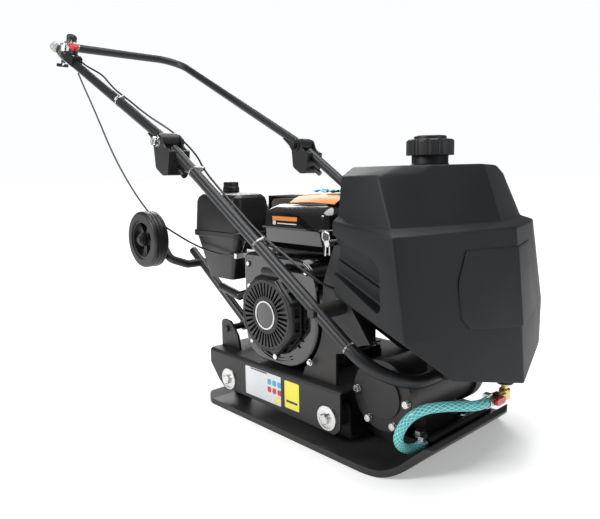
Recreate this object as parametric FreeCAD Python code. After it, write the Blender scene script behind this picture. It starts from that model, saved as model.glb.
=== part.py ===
import FreeCAD, Part
import math
import os

V = FreeCAD.Vector
X, Y, Z = V(1, 0, 0), V(0, 1, 0), V(0, 0, 1)

# Plate compactor, in millimetres. +X is forward, to the water tank and the turned-up lip of
# the base plate, +Y is left, and +Z is up. The origin is on the flat underside of the base plate.

# fits between pieces
TOUCH = 0.01                    # shortest edge that is worth drawing
RUN_FIT = 0.05                  # radial running fit of a shaft in its bore
GAP = 0.3                       # room between pieces of different bodies
BOLT_FIT = 0.1                  # radial room round a bolt

# base plate
PLATE_REAR, PLATE_FRONT = -256.0, 356.0
PLATE_HALF = 208.0
PLATE_THICK = 13.0
LIP_START, LIP_RADIUS, LIP_LENGTH = 268.0, 80.0, 36.0
LIP_ANGLE = 45.0
TAIL_RISE, TAIL_LENGTH = 8.0, 34.0
FRONT_CORNER, REAR_CORNER = 118.0, 34.0

# deck that carries the engine, on four rubber mounts
DECK_TOP, DECK_SHEET = 124.0, 5.0
DECK_HALF = 179.0
DECK_REAR, DECK_FRONT = -267.0, 166.0
DECK_BOTTOM = 32.0
MOUNT_XS = (-193.0, 131.0)
MOUNT_Z = 62.0
MOUNT_RADIUS, MOUNT_LENGTH = 25.0, 32.0
WASHER_RADIUS, WASHER_THICK = 25.0, 3.0
M12, M10, M8, M6 = 6.0, 5.0, 4.0, 3.0      # bolt radii
RAIL_HEIGHT, RAIL_WIDTH, RAIL_Y, RAIL_OVER = 17.0, 30.0, 45.0, 22.0

# exciter
EX_X, EX_Z = 237.0, 126.0
EX_RADIUS, EX_CAVITY = 62.0, 54.0
EX_NEAR, EX_FAR = -128.0, 100.0
EX_COVER_RADIUS, EX_COVER_THICK = 69.0, 12.0
EX_BOLT_CIRCLE = 59.0
EX_SHAFT = 15.0
EX_FOOT_TOP, EX_FOOT_FRONT, EX_FOOT_REAR, EX_FOOT_HALF = 38.0, 298.0, 162.0, 94.0
FOOT_BOLT_DEPTH, EX_WEB_HALF = 7.0, 52.0
BEARING_RADIUS, BEARING_WIDTH = 36.0, 18.0
WEIGHT_RADIUS, WEIGHT_WIDTH = 50.0, 40.0

# engine
CRANK_X, CRANK_Z = -31.0, 247.0
CRANK_RADIUS = 17.5
CASE_REAR, CASE_FRONT, CASE_NEAR, CASE_FAR, CASE_TOP = -100.0, 52.0, -62.0, 66.0, 300.0
BARREL_SLANT = 25.0
BARREL_Y, BARREL_HALF, FIN_HALF = 11.0, 49.0, 50.0
BARREL_RADIUS = 42.0
FIN_FIRST, FIN_PITCH, FIN_COUNT, FIN_THICK = 98.0, 9.0, 6, 3.0
HEAD_START, HEAD_END, ROCKER_END = 150.0, 186.0, 212.0
BLOWER_REAR, BLOWER_FRONT, BLOWER_BOTTOM, BLOWER_TOP = -138.0, 94.0, 133.0, 371.0
BLOWER_NEAR, BLOWER_BACK, BLOWER_WALL = -168.0, -66.0, 2.5
RECOIL_RADIUS, RECOIL_FACE, RECOIL_WALL = 87.5, -198.0, 3.0
SLOT_COUNT, SLOT_WIDTH, SLOT_INNER, SLOT_OUTER = 36, 4.0, 42.0, 74.0
FLYWHEEL_RADIUS, FLYWHEEL_NEAR, FLYWHEEL_FAR = 90.0, -120.0, -82.0
BELT_Y, BELT_WIDTH = 134.0, 17.0
PULLEY_HALF = BELT_WIDTH / 2 + 5
CLUTCH_RADIUS, PULLEY_RADIUS = 48.0, 44.0
BELT_THICK = 9.0
TANK_REAR, TANK_FRONT, TANK_NEAR, TANK_FAR = -139.0, 82.0, -121.0, 84.0
TANK_BOTTOM, TANK_SEAM, TANK_TOP = 377.0, 425.0, 475.0
FUEL_NECK = (0.0, 0.0)
FUEL_NECK_RADIUS, FUEL_CAP_RADIUS = 21.0, 30.0
AIR_REAR, AIR_FRONT, AIR_NEAR, AIR_FAR = -347.0, -177.0, -158.0, -45.0
AIR_BOTTOM, AIR_RIM, AIR_TOP = 291.0, 408.0, 490.0
AIR_KNOB = (-291.0, -84.0)
MUFFLER = (-322.0, -172.0, 74.0, 146.0, 305.0, 476.0)
GUARD_GAP, GUARD_SHEET = 8.0, 1.5

# water tank: height, ridge x, corner x, corner y, rear x, rear y of each section
TANK_SECTIONS = (
    (160.0, 447.0, 368.0, 236.0, 191.0, 214.0),
    (275.0, 438.0, 362.0, 238.0, 186.0, 214.0),
    (451.0, 421.0, 336.0, 239.0, 180.0, 214.0),
    (468.0, 390.0, 318.0, 217.0, 190.0, 200.0),
    (553.0, 352.0, 274.0, 205.0, 204.0, 186.0),
)
TANK_WALL = 4.0
TANK_NOSE_BOTTOM = 172.0
NECK_X, NECK_RADIUS, NECK_BORE, NECK_TOP = 239.0, 35.0, 30.0, 596.0
CAP_RADIUS, CAP_BOTTOM, CAP_RIM, CAP_TOP, CAP_LOBES = 45.5, 574.0, 604.0, 611.0, 12
ROD_X, ROD_Z, ROD_RADIUS, ROD_END = 168.0, 416.0, 6.0, 214.0
LUG_INNER, LUG_THICK = 162.0, 8.0
RECESS_DEPTH = 12.0

# handle: both halves hinge at the two knuckles
PIVOT_X, PIVOT_Z, HANDLE_Y = -354.0, 622.0, 222.0
TUBE, TUBE_BORE = 12.5, 10.0
LOWER_SLOPE, UPPER_SLOPE = 33.6, 26.5
LOWER_LENGTH, UPPER_LENGTH = 811.0, 728.0
LOWER_BEND, UPPER_BEND = 105.0, 78.0
LOWER_START, UPPER_START = 36.0, 19.0
BARREL_DRUM, DRUM_HALF = 20.0, 23.0
EAR_SHEET = 4.0
SUPPORT_Y, SUPPORT_SHEET = 156.0, 6.0
BUSH_S, BUSH_RADIUS = 606.0, 15.0

# transport wheels
SWING_X, SWING_Z, SWING_ROD = -245.0, 168.0, 8.0
EAR_Y, EAR_THICK = 140.0, 6.0
FRAME_TUBE, FRAME_BORE = 11.0, 8.5
LEG_Y = 78.0
LEG_END_X, LEG_END_Z = -484.0, 336.0
AXLE_X, AXLE_Z, AXLE_RADIUS = -500.0, 376.0, 8.0
WHEEL_RADIUS, WHEEL_HALF, WHEEL_Y = 73.5, 21.0, 205.0
RIM_RADIUS, HUB_RADIUS, SPOKES = 52.0, 17.0, 5

# water line
VALVE_X, VALVE_Z = 410.0, 140.0
HOSE_RADIUS, HOSE_WALL = 9.0, 2.5
BAR_X, BAR_Z, BAR_RADIUS, BAR_NEAR, BAR_FAR = 310.0, 43.0, 9.0, -104.0, 120.0

LINE_RADIUS = 2.5               # throttle cable and stop wire


def box(x0, x1, y0, y1, z0, z1):
    return Part.makeBox(x1 - x0, y1 - y0, z1 - z0, V(x0, y0, z0))


def rod(radius, start, end):
    start, end = V(*start), V(*end)
    return Part.makeCylinder(radius, (end - start).Length, start, end - start)


def pipe(radius, bore, start, end):
    return rod(radius, start, end).cut(rod(bore, start, end))


def disc(radius, x, z, y0, y1):
    """A round disc on an axis along Y."""
    return rod(radius, (x, y0, z), (x, y1, z))


def corner(before, point, after, radius):
    """Where an arc of this radius leaves and meets the two runs at a point."""
    back = (before - point).normalize()
    on = (after - point).normalize()
    half = back.getAngle(on) / 2
    middle = (back + on).normalize()
    reach = radius / math.tan(half)
    centre = point + middle * (radius / math.sin(half))
    return point + back * reach, centre - middle * radius, point + on * reach


def route(points, radius, closed=False):
    """Straight runs joined by tangent arcs; radius is one number or one for each point."""
    points = [V(*p) for p in points]
    count = len(points)
    radii = radius if isinstance(radius, (list, tuple)) else [radius] * count
    stops = []
    for i, point in enumerate(points):
        is_end = not closed and i in (0, count - 1)
        if is_end or radii[i] == 0:
            stops.append((point, None, point))
        else:
            stops.append(corner(points[i - 1], point, points[(i + 1) % count], radii[i]))
    edges = []
    for i, (entry, middle, leave) in enumerate(stops):
        if middle is not None:
            edges.append(Part.Arc(entry, middle, leave).toShape())
        following = stops[(i + 1) % count][0]
        if (closed or i < count - 1) and (following - leave).Length > TOUCH:
            edges.append(Part.LineSegment(leave, following).toShape())
    return Part.Wire(edges)


def prism(points, along, radius=0):
    """A closed outline with rounded corners, drawn out along a vector."""
    return Part.Face(route(points, radius, closed=True)).extrude(along)


def plate_xz(outline, y0, y1, radius=0):
    return prism([(x, y0, z) for x, z in outline], V(0, y1 - y0, 0), radius)


def sweep(wire, radius):
    first = wire.OrderedEdges[0]
    start, heading = first.valueAt(first.FirstParameter), first.tangentAt(first.FirstParameter)
    profile = Part.Wire(Part.makeCircle(radius, start, heading))
    return wire.makePipeShell([profile], True, False)


def bent_tube(points, bend, radius, bore):
    wire = route(points, bend)
    return sweep(wire, radius).cut(sweep(wire, bore))


def both_sides(shape):
    """The shape and its mirror image over the plane y = 0."""
    return [shape, shape.mirror(V(0, 0, 0), Y)]


def hexagon(across, start, end):
    """A hexagonal prism with this width across its flats."""
    start, end = V(*start), V(*end)
    axis = (end - start).normalize()
    side = Z if abs(axis.z) < 0.9 else X
    side = (side - axis * axis.dot(side)).normalize()
    other = axis.cross(side)
    reach = across / math.sqrt(3)
    angles = [math.radians(60 * k) for k in range(6)]
    points = [start + side * (reach * math.cos(a)) + other * (reach * math.sin(a)) for a in angles]
    return Part.Face(Part.makePolygon(points + points[:1])).extrude(end - start)


def bolt(radius, head_face, tip, washer=0, washer_thick=2.0, head=0.7):
    """A hexagon-head bolt whose washer lies on head_face and whose shank ends at tip."""
    face, end = V(*head_face), V(*tip)
    out = (face - end).normalize()
    shape = rod(radius, face, end)
    top = face
    if washer:
        top = face + out * washer_thick
        shape = shape.fuse(rod(washer, face, top))
    return shape.fuse(hexagon(radius * 3.2, top, top + out * (radius * 2 * head))).removeSplitter()


def half_space(point, normal, size=900.0, depth=600.0):
    """A block that fills the side of a plane to which the normal points."""
    point, normal = V(*point), V(*normal).normalize()
    side = Y if abs(normal.y) < 0.9 else X
    u = (side - normal * normal.dot(side)).normalize() * (size / 2)
    v = normal.cross(u)
    outline = [point + u + v, point - u + v, point - u - v, point + u - v]
    return Part.Face(Part.makePolygon(outline + outline[:1])).extrude(normal * depth)


def soften(shape, radius, picks):
    """Rounds the edges for which picks(edge) is true."""
    return shape.makeFillet(radius, [e for e in shape.Edges if picks(e)])


def upright(edge):
    return abs(edge.tangentAt(edge.FirstParameter).z) > 0.99


def along_y(edge):
    return abs(edge.tangentAt(edge.FirstParameter).y) > 0.99


def on_lower(s, y, out=0.0):
    """A point s down the lower handle from the pivot, and out above its centre line."""
    a = math.radians(LOWER_SLOPE)
    return (PIVOT_X + s * math.cos(a) + out * math.sin(a), y,
            PIVOT_Z - s * math.sin(a) + out * math.cos(a))


def on_upper(s, y, out=0.0):
    """A point s up the upper handle from the pivot, and out above its centre line."""
    a = math.radians(UPPER_SLOPE)
    return (PIVOT_X - s * math.cos(a) + out * math.sin(a), y,
            PIVOT_Z + s * math.sin(a) + out * math.cos(a))


NODES = {}


def node(name, *solids):
    NODES[name] = list(solids)


# ---------------------------------------------------------------- base plate and exciter

def bent_plate():
    """A bent plate: a raised tail, a flat sole and a lip turned up at the front."""
    a = math.radians(LIP_ANGLE)
    lip_x = LIP_START + LIP_RADIUS * math.sin(a) + LIP_LENGTH * math.cos(a)
    lip_z = LIP_RADIUS * (1 - math.cos(a)) + LIP_LENGTH * math.sin(a)
    bend = LIP_START + LIP_RADIUS * math.tan(a / 2)
    inner = LIP_RADIUS - PLATE_THICK
    inner_bend = bend - PLATE_THICK * math.tan(a / 2)
    tail = PLATE_REAR + TAIL_LENGTH
    outline = [
        (PLATE_REAR, TAIL_RISE), (tail, 0), (bend, 0), (lip_x, lip_z),
        (lip_x - PLATE_THICK * math.sin(a), lip_z + PLATE_THICK * math.cos(a)),
        (inner_bend, PLATE_THICK), (tail, PLATE_THICK), (PLATE_REAR, TAIL_RISE + PLATE_THICK),
    ]
    profile = plate_xz(outline, -PLATE_HALF, PLATE_HALF, [0, 0, LIP_RADIUS, 3, 3, inner, 0, 4])
    plan = [(PLATE_REAR, -PLATE_HALF, -1), (PLATE_FRONT, -PLATE_HALF, -1),
            (PLATE_FRONT, PLATE_HALF, -1), (PLATE_REAR, PLATE_HALF, -1)]
    cutter = prism(plan, Z * 200, [REAR_CORNER, FRONT_CORNER, FRONT_CORNER, REAR_CORNER])
    return profile.common(cutter)


def base_plate():
    """The bent plate with blind threaded holes for the exciter's foot bolts."""
    holes = [rod(M12, (x, y, PLATE_THICK - FOOT_BOLT_DEPTH), (x, y, EX_FOOT_TOP))
             for x, y in foot_bolts()]
    return bent_plate().cut(holes)


def mount_brackets():
    """Four angle brackets, welded to the plate, that the rubber mounts bolt to."""
    inner = DECK_HALF - DECK_SHEET - MOUNT_LENGTH
    sheet, half, foot = 6.0, 30.0, 34.0
    shapes = []
    for x in MOUNT_XS:
        upright_plate = plate_xz([(x - half, PLATE_THICK), (x + half, PLATE_THICK),
                                  (x + half * 0.8, MOUNT_Z + 26), (x - half * 0.8, MOUNT_Z + 26)],
                                 inner - sheet, inner, [0, 0, 12, 12])
        foot_plate = box(x - half, x + half, inner - sheet - foot, inner,
                         PLATE_THICK, PLATE_THICK + sheet)
        bracket = upright_plate.fuse(foot_plate).removeSplitter()
        shapes += both_sides(bracket.cut(disc(M12 + BOLT_FIT, x, MOUNT_Z, 0, DECK_HALF)))
    return shapes


def rubber_mounts():
    inner = DECK_HALF - DECK_SHEET - MOUNT_LENGTH
    shapes = []
    for x in MOUNT_XS:
        ends = disc(MOUNT_RADIUS, x, MOUNT_Z, inner, inner + MOUNT_LENGTH)
        waist = disc(MOUNT_RADIUS + 1, x, MOUNT_Z, inner + 8, inner + MOUNT_LENGTH - 8)
        waist = waist.cut(disc(MOUNT_RADIUS - 4, x, MOUNT_Z, inner, inner + MOUNT_LENGTH))
        bore = disc(M12 + BOLT_FIT, x, MOUNT_Z, inner - 1, inner + MOUNT_LENGTH + 1)
        shapes += both_sides(ends.cut(waist).cut(bore))
    return shapes


def mount_bolts():
    inner = DECK_HALF - DECK_SHEET - MOUNT_LENGTH
    nut = 6.0
    shapes = []
    for x in MOUNT_XS:
        long_bolt = bolt(M12, (x, DECK_HALF, MOUNT_Z), (x, inner - 16, MOUNT_Z),
                         WASHER_RADIUS, WASHER_THICK)
        lock_nut = hexagon(19, (x, inner - nut, MOUNT_Z), (x, inner - nut - 10, MOUNT_Z))
        shapes += both_sides(long_bolt.fuse(lock_nut))
    return shapes


def bolt_circle(count, radius, x, z, turn=0.0):
    angles = [math.radians(turn + 360 * k / count) for k in range(count)]
    return [(x + radius * math.cos(a), z + radius * math.sin(a)) for a in angles]


def exciter_housing():
    body = disc(EX_RADIUS, EX_X, EX_Z, EX_NEAR, EX_FAR)
    ends = disc(EX_COVER_RADIUS, EX_X, EX_Z, EX_NEAR, EX_NEAR + 14)
    ends = ends.fuse(disc(EX_COVER_RADIUS, EX_X, EX_Z, EX_FAR - 14, EX_FAR))
    foot = box(EX_FOOT_REAR, EX_FOOT_FRONT, -EX_FOOT_HALF, EX_FOOT_HALF, PLATE_THICK, EX_FOOT_TOP)
    foot = soften(foot, 14, upright)
    web = box(EX_X - 40, EX_X + 40, -EX_WEB_HALF, EX_WEB_HALF, EX_FOOT_TOP, EX_Z)
    body = body.fuse([ends, foot, web]).removeSplitter()
    body = body.cut(bent_plate())
    cavity = disc(EX_CAVITY, EX_X, EX_Z, EX_NEAR + BEARING_WIDTH, EX_FAR - BEARING_WIDTH)
    seats = disc(BEARING_RADIUS, EX_X, EX_Z, EX_NEAR, EX_FAR)
    holes = [disc(M8, x, z, EX_NEAR, EX_NEAR + 13) for x, z in cover_holes()]
    holes += [disc(M8, x, z, EX_FAR - 13, EX_FAR) for x, z in cover_holes()]
    holes += [rod(M12 + BOLT_FIT, (x, y, 0), (x, y, EX_FOOT_TOP + 1)) for x, y in foot_bolts()]
    return body.cut([cavity, seats] + holes)


def cover_holes():
    return bolt_circle(6, EX_BOLT_CIRCLE, EX_X, EX_Z)


def foot_bolts():
    xs = (EX_FOOT_REAR + 18, EX_FOOT_FRONT - 20)
    return [(x, side * (EX_FOOT_HALF - 22)) for x in xs for side in (-1, 1)]


def exciter_near_cover():
    """A blind cover with a raised centre."""
    outer = EX_NEAR - EX_COVER_THICK
    cover = disc(EX_COVER_RADIUS, EX_X, EX_Z, outer, EX_NEAR)
    cover = cover.fuse(disc(44, EX_X, EX_Z, outer - 4, outer)).removeSplitter()
    return cover.cut([disc(M8, x, z, outer - 5, EX_NEAR) for x, z in cover_holes()])


def exciter_far_cover():
    """The cover on the belt side, open for the shaft."""
    outer = EX_FAR + EX_COVER_THICK
    cover = disc(EX_COVER_RADIUS, EX_X, EX_Z, EX_FAR, outer)
    holes = [disc(M8, x, z, EX_FAR, outer) for x, z in cover_holes()]
    return cover.cut(holes + [disc(EX_SHAFT + RUN_FIT, EX_X, EX_Z, EX_FAR, outer)])


def exciter_bolts():
    near, far = EX_NEAR - EX_COVER_THICK, EX_FAR + EX_COVER_THICK
    shapes = [bolt(M8, (x, near, z), (x, EX_NEAR + 12, z), 7.5) for x, z in cover_holes()]
    shapes += [bolt(M8, (x, far, z), (x, EX_FAR - 12, z), 7.5) for x, z in cover_holes()]
    for x, y in foot_bolts():
        tip = (x, y, PLATE_THICK - FOOT_BOLT_DEPTH)
        shapes.append(bolt(M12, (x, y, EX_FOOT_TOP), tip, 14, 3))
    return shapes


def exciter_bearings():
    shapes = []
    for y in (EX_NEAR, EX_FAR - BEARING_WIDTH):
        ring = disc(BEARING_RADIUS, EX_X, EX_Z, y, y + BEARING_WIDTH)
        shapes.append(ring.cut(disc(EX_SHAFT + RUN_FIT, EX_X, EX_Z, y, y + BEARING_WIDTH)))
    return shapes


def grooved_pulley(radius, x, z, bore):
    """A V-belt pulley whose groove lets the belt's outer face lie at this radius."""
    half = BELT_WIDTH / 2
    depth = BELT_THICK + 2
    y0, y1 = BELT_Y - PULLEY_HALF, BELT_Y + PULLEY_HALF
    rim = radius + 1
    outline = [(bore, y0), (rim, y0), (rim, BELT_Y - half), (radius - depth, BELT_Y - half + 3),
               (radius - depth, BELT_Y + half - 3), (rim, BELT_Y + half), (rim, y1), (bore, y1)]
    points = [V(x + r, y, z) for r, y in outline]
    return Part.Face(Part.makePolygon(points + points[:1])).revolve(V(x, 0, z), Y, 360)


def exciter_shaft():
    """The eccentric shaft, its two weights and the driven pulley."""
    shaft = disc(EX_SHAFT, EX_X, EX_Z, EX_NEAR + 2, BELT_Y + PULLEY_HALF)
    weights = []
    for y in (EX_NEAR + BEARING_WIDTH + 8, EX_FAR - BEARING_WIDTH - 8 - WEIGHT_WIDTH):
        round_part = disc(WEIGHT_RADIUS, EX_X, EX_Z, y, y + WEIGHT_WIDTH)
        lower = round_part.common(half_space((EX_X, 0, EX_Z + 4), (0, 0, -1)))
        hub = disc(EX_SHAFT + 9, EX_X, EX_Z, y, y + WEIGHT_WIDTH)
        weights.append(lower.fuse(hub).removeSplitter().cut(shaft))
    pulley = grooved_pulley(PULLEY_RADIUS, EX_X, EX_Z, EX_SHAFT)
    return [shaft] + weights + [pulley]


# ---------------------------------------------------------------- deck and supports

def deck():
    """Folded sheet with two side flanges, and the two rails that the engine stands on."""
    bend = 9.0
    outer = box(DECK_REAR, DECK_FRONT, -DECK_HALF, DECK_HALF, DECK_BOTTOM, DECK_TOP)
    outer = soften(outer, bend, lambda e: abs(e.tangentAt(e.FirstParameter).x) > 0.99
                   and e.CenterOfMass.z > DECK_TOP - 1)
    inner = box(DECK_REAR, DECK_FRONT, DECK_SHEET - DECK_HALF, DECK_HALF - DECK_SHEET,
                DECK_BOTTOM, DECK_TOP - DECK_SHEET)
    sheet = outer.cut(inner)
    side = [(DECK_REAR, DECK_TOP), (DECK_REAR, 88), (DECK_REAR + 33, 52), (DECK_REAR + 52, 38),
            (DECK_FRONT - 16, DECK_BOTTOM), (DECK_FRONT, DECK_BOTTOM + 14), (DECK_FRONT, DECK_TOP)]
    sheet = sheet.common(plate_xz(side, -DECK_HALF, DECK_HALF, [0, 6, 12, 8, 10, 10, 0]))
    belt_slot = box(DECK_FRONT - 74, DECK_FRONT, BELT_Y - 18, BELT_Y + 18,
                    DECK_TOP - DECK_SHEET - 1, DECK_TOP + 1)
    cuts = [belt_slot]
    for x in MOUNT_XS:
        cuts.append(disc(M12 + BOLT_FIT, x, MOUNT_Z, -DECK_HALF, DECK_HALF))
    for x, y in engine_bolts_at():
        cuts.append(rod(M8 + BOLT_FIT, (x, y, 0), (x, y, DECK_TOP)))
    sheet = sheet.cut(cuts)
    rails = []
    for side_sign in (-1, 1):
        centre = side_sign * RAIL_Y
        rail = box(CASE_REAR - RAIL_OVER, CASE_FRONT + RAIL_OVER, centre - RAIL_WIDTH / 2,
                   centre + RAIL_WIDTH / 2, DECK_TOP, DECK_TOP + RAIL_HEIGHT)
        rails.append(rail.cut([rod(M8 + BOLT_FIT, (x, y, 0), (x, y, 200))
                               for x, y in engine_bolts_at()]))
    return [sheet] + rails


def engine_bolts_at():
    return [(x, side * RAIL_Y) for x in (CASE_REAR - 11, CASE_FRONT + 11) for side in (-1, 1)]


def support_plate():
    """One upright: concave round the fan housing and round the exciter, with the rod hole."""
    y0 = SUPPORT_Y - SUPPORT_SHEET / 2
    y1 = SUPPORT_Y + SUPPORT_SHEET / 2
    outline = [(40, DECK_TOP), (137, DECK_TOP), (137, 190), (224, 210), (224, 226), (176, 290),
               (176, ROD_Z + 16), (ROD_X - 24, ROD_Z + 16), (104, 330), (96, 240)]
    plate = plate_xz(outline, y0, y1, [0, 0, 0, 8, 10, 20, 12, 12, 40, 0])
    cuts = [disc(131, CRANK_X, CRANK_Z, 0, DECK_HALF), disc(100, EX_X, EX_Z, 0, DECK_HALF),
            disc(ROD_RADIUS + BOLT_FIT, ROD_X, ROD_Z, 0, DECK_HALF)]
    bush = on_lower(BUSH_S, 0)
    cuts.append(disc(M10 + BOLT_FIT, bush[0], bush[2], 0, DECK_HALF))
    return max(plate.cut(cuts).Solids, key=lambda s: s.Volume)


def side_supports():
    """Two uprights and the tie bar between them."""
    tie = box(146, 176, -SUPPORT_Y + SUPPORT_SHEET / 2, SUPPORT_Y - SUPPORT_SHEET / 2, 340, 345)
    return both_sides(support_plate()) + [tie]


def belt_guard():
    """A shell round both pulleys, open towards the engine, with a foot on the deck."""
    wall = 2.0
    y0, y1 = BELT_Y - PULLEY_HALF + 1, SUPPORT_Y - SUPPORT_SHEET / 2 - 2

    def outline(grow, start, end):
        big, small = CLUTCH_RADIUS + 14 + grow, PULLEY_RADIUS + 12 + grow
        lean = math.atan2(EX_Z - CRANK_Z, EX_X - CRANK_X)
        span = math.hypot(EX_X - CRANK_X, EX_Z - CRANK_Z)
        open_angle = math.acos((big - small) / span)
        points = []
        for sign in (1, -1):
            a = lean + sign * open_angle
            first = (CRANK_X + big * math.cos(a), CRANK_Z + big * math.sin(a))
            second = (EX_X + small * math.cos(a), EX_Z + small * math.sin(a))
            points += [first, second] if sign == 1 else [second, first]
        strip = prism([(x, start, z) for x, z in points], V(0, end - start, 0))
        shape = strip.fuse([disc(big, CRANK_X, CRANK_Z, start, end),
                            disc(small, EX_X, EX_Z, start, end)])
        return shape.removeSplitter()

    shell = outline(wall, y0, y1).cut(outline(0, y0, y1 - wall))
    deck_room = box(DECK_REAR, DECK_FRONT + 2, 0, DECK_HALF + 5, 0, DECK_TOP + GAP)
    foot = box(CRANK_X - 30, CRANK_X + 30, y0, y1, DECK_TOP, DECK_TOP + 3)
    stem = box(CRANK_X - 12, CRANK_X + 12, y1 - wall, y1, DECK_TOP, CRANK_Z - CLUTCH_RADIUS)
    return shell.cut(deck_room).fuse([foot, stem]).removeSplitter()


def drive_belt():
    """The V-belt as one closed band round both pulleys."""
    def band(drop, half):
        lean = math.atan2(EX_Z - CRANK_Z, EX_X - CRANK_X)
        span = math.hypot(EX_X - CRANK_X, EX_Z - CRANK_Z)
        big, small = CLUTCH_RADIUS - drop, PULLEY_RADIUS - drop
        open_angle = math.acos((big - small) / span)
        points = []
        for sign in (1, -1):
            a = lean + sign * open_angle
            first = (CRANK_X + big * math.cos(a), CRANK_Z + big * math.sin(a))
            second = (EX_X + small * math.cos(a), EX_Z + small * math.sin(a))
            points += [first, second] if sign == 1 else [second, first]
        y0, y1 = BELT_Y - half, BELT_Y + half
        strip = prism([(x, y0, z) for x, z in points], V(0, y1 - y0, 0))
        return strip.fuse([disc(big, CRANK_X, CRANK_Z, y0, y1), disc(small, EX_X, EX_Z, y0, y1)])

    half = BELT_WIDTH / 2 - 3.2
    return band(0, half).cut(band(BELT_THICK, half)).removeSplitter()


# ---------------------------------------------------------------- engine

def crankcase():
    case = box(CASE_REAR, CASE_FRONT, CASE_NEAR, CASE_FAR, DECK_TOP + RAIL_HEIGHT, CASE_TOP)
    case = soften(case, 14, along_y)
    feet = box(CASE_REAR - 20, CASE_FRONT + 20, -RAIL_Y - 14, RAIL_Y + 14,
               DECK_TOP + RAIL_HEIGHT, DECK_TOP + RAIL_HEIGHT + 9)
    boss = disc(44, CRANK_X, CRANK_Z, CASE_FAR, CASE_FAR + 16)
    near_boss = disc(34, CRANK_X, CRANK_Z, CASE_NEAR - 12, CASE_NEAR)
    posts = [box(18, 44, y, y + 22, CASE_TOP - 10, TANK_BOTTOM) for y in (-50, 34)]
    case = case.fuse([feet, boss, near_boss] + posts).removeSplitter()
    bore = disc(CRANK_RADIUS + RUN_FIT, CRANK_X, CRANK_Z, CASE_NEAR - 12, CASE_FAR + 16)
    holes = [rod(M8 + BOLT_FIT, (x, y, 0), (x, y, 200)) for x, y in engine_bolts_at()]
    return case.cut([bore] + holes)


def slanted(shape):
    """Turns a shape drawn with the cylinder level to the cylinder's real slant."""
    turned = shape.copy()
    turned.rotate(V(CRANK_X, 0, CRANK_Z), Y, BARREL_SLANT)
    return turned


def cylinder():
    """Finned barrel between the crankcase and the head."""
    y0, y1 = BARREL_Y - BARREL_HALF, BARREL_Y + BARREL_HALF
    core = rod(BARREL_RADIUS, (CRANK_X - 60, BARREL_Y, CRANK_Z),
               (CRANK_X - HEAD_START, BARREL_Y, CRANK_Z))
    fins = []
    for k in range(FIN_COUNT):
        x = CRANK_X - FIN_FIRST - k * FIN_PITCH
        fins.append(box(x - FIN_THICK, x, y0, y1, CRANK_Z - FIN_HALF, CRANK_Z + FIN_HALF))
    return slanted(core.fuse(fins).removeSplitter()).cut(crankcase())


def cylinder_head():
    """Finned head and, on top of it, the rocker cover."""
    y0, y1 = BARREL_Y - BARREL_HALF, BARREL_Y + BARREL_HALF
    head = box(CRANK_X - HEAD_END, CRANK_X - HEAD_START, y0, y1,
               CRANK_Z - FIN_HALF, CRANK_Z + FIN_HALF)
    grooves = []
    for k in range(3):
        x = CRANK_X - HEAD_START - 6 - k * FIN_PITCH
        block = box(x - 5, x, y0, y1, CRANK_Z - FIN_HALF, CRANK_Z + FIN_HALF)
        grooves.append(block.cut(box(x - 5, x, y0 + 9, y1 - 9, CRANK_Z - FIN_HALF + 9,
                                     CRANK_Z + FIN_HALF - 9)))
    cover = box(CRANK_X - ROCKER_END, CRANK_X - HEAD_END, y0 + 9, y1 - 9,
                CRANK_Z - FIN_HALF + 9, CRANK_Z + FIN_HALF - 9)
    cover = soften(cover, 12, lambda e: abs(e.tangentAt(e.FirstParameter).x) > 0.99)
    cover = soften(cover, 4, lambda e: abs(e.CenterOfMass.x - CRANK_X + ROCKER_END) < 0.1)
    return [slanted(head.cut(grooves)), slanted(cover)]


def blower_outline(grow):
    points = [(BLOWER_REAR - grow, BLOWER_BOTTOM - grow), (BLOWER_FRONT + grow, BLOWER_BOTTOM - grow),
              (BLOWER_FRONT + grow, BLOWER_TOP + grow), (BLOWER_REAR - grow, BLOWER_TOP + grow)]
    return points, [60 + grow, 105 + grow, 60 + grow, 20 + grow]


def blower_housing():
    points, radii = blower_outline(0)
    outer = plate_xz(points, BLOWER_NEAR, BLOWER_BACK, radii)
    outer = soften(outer, 6, lambda e: abs(e.CenterOfMass.y - BLOWER_NEAR) < 0.1)
    points, radii = blower_outline(-BLOWER_WALL)
    inner = plate_xz(points, BLOWER_NEAR + BLOWER_WALL, BLOWER_BACK, radii)
    inlet = disc(FLYWHEEL_RADIUS - 14, CRANK_X, CRANK_Z, BLOWER_NEAR, BLOWER_NEAR + 8)
    lugs = [box(x0, x1, BLOWER_BACK, CASE_NEAR, z0, z1) for x0, x1, z0, z1 in (
        (-70, 10, BLOWER_BOTTOM, 168), (34, BLOWER_FRONT, 215, 255), (-80, -20, 286, BLOWER_TOP))]
    return outer.cut([inner, inlet]).fuse(lugs).removeSplitter()


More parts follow.
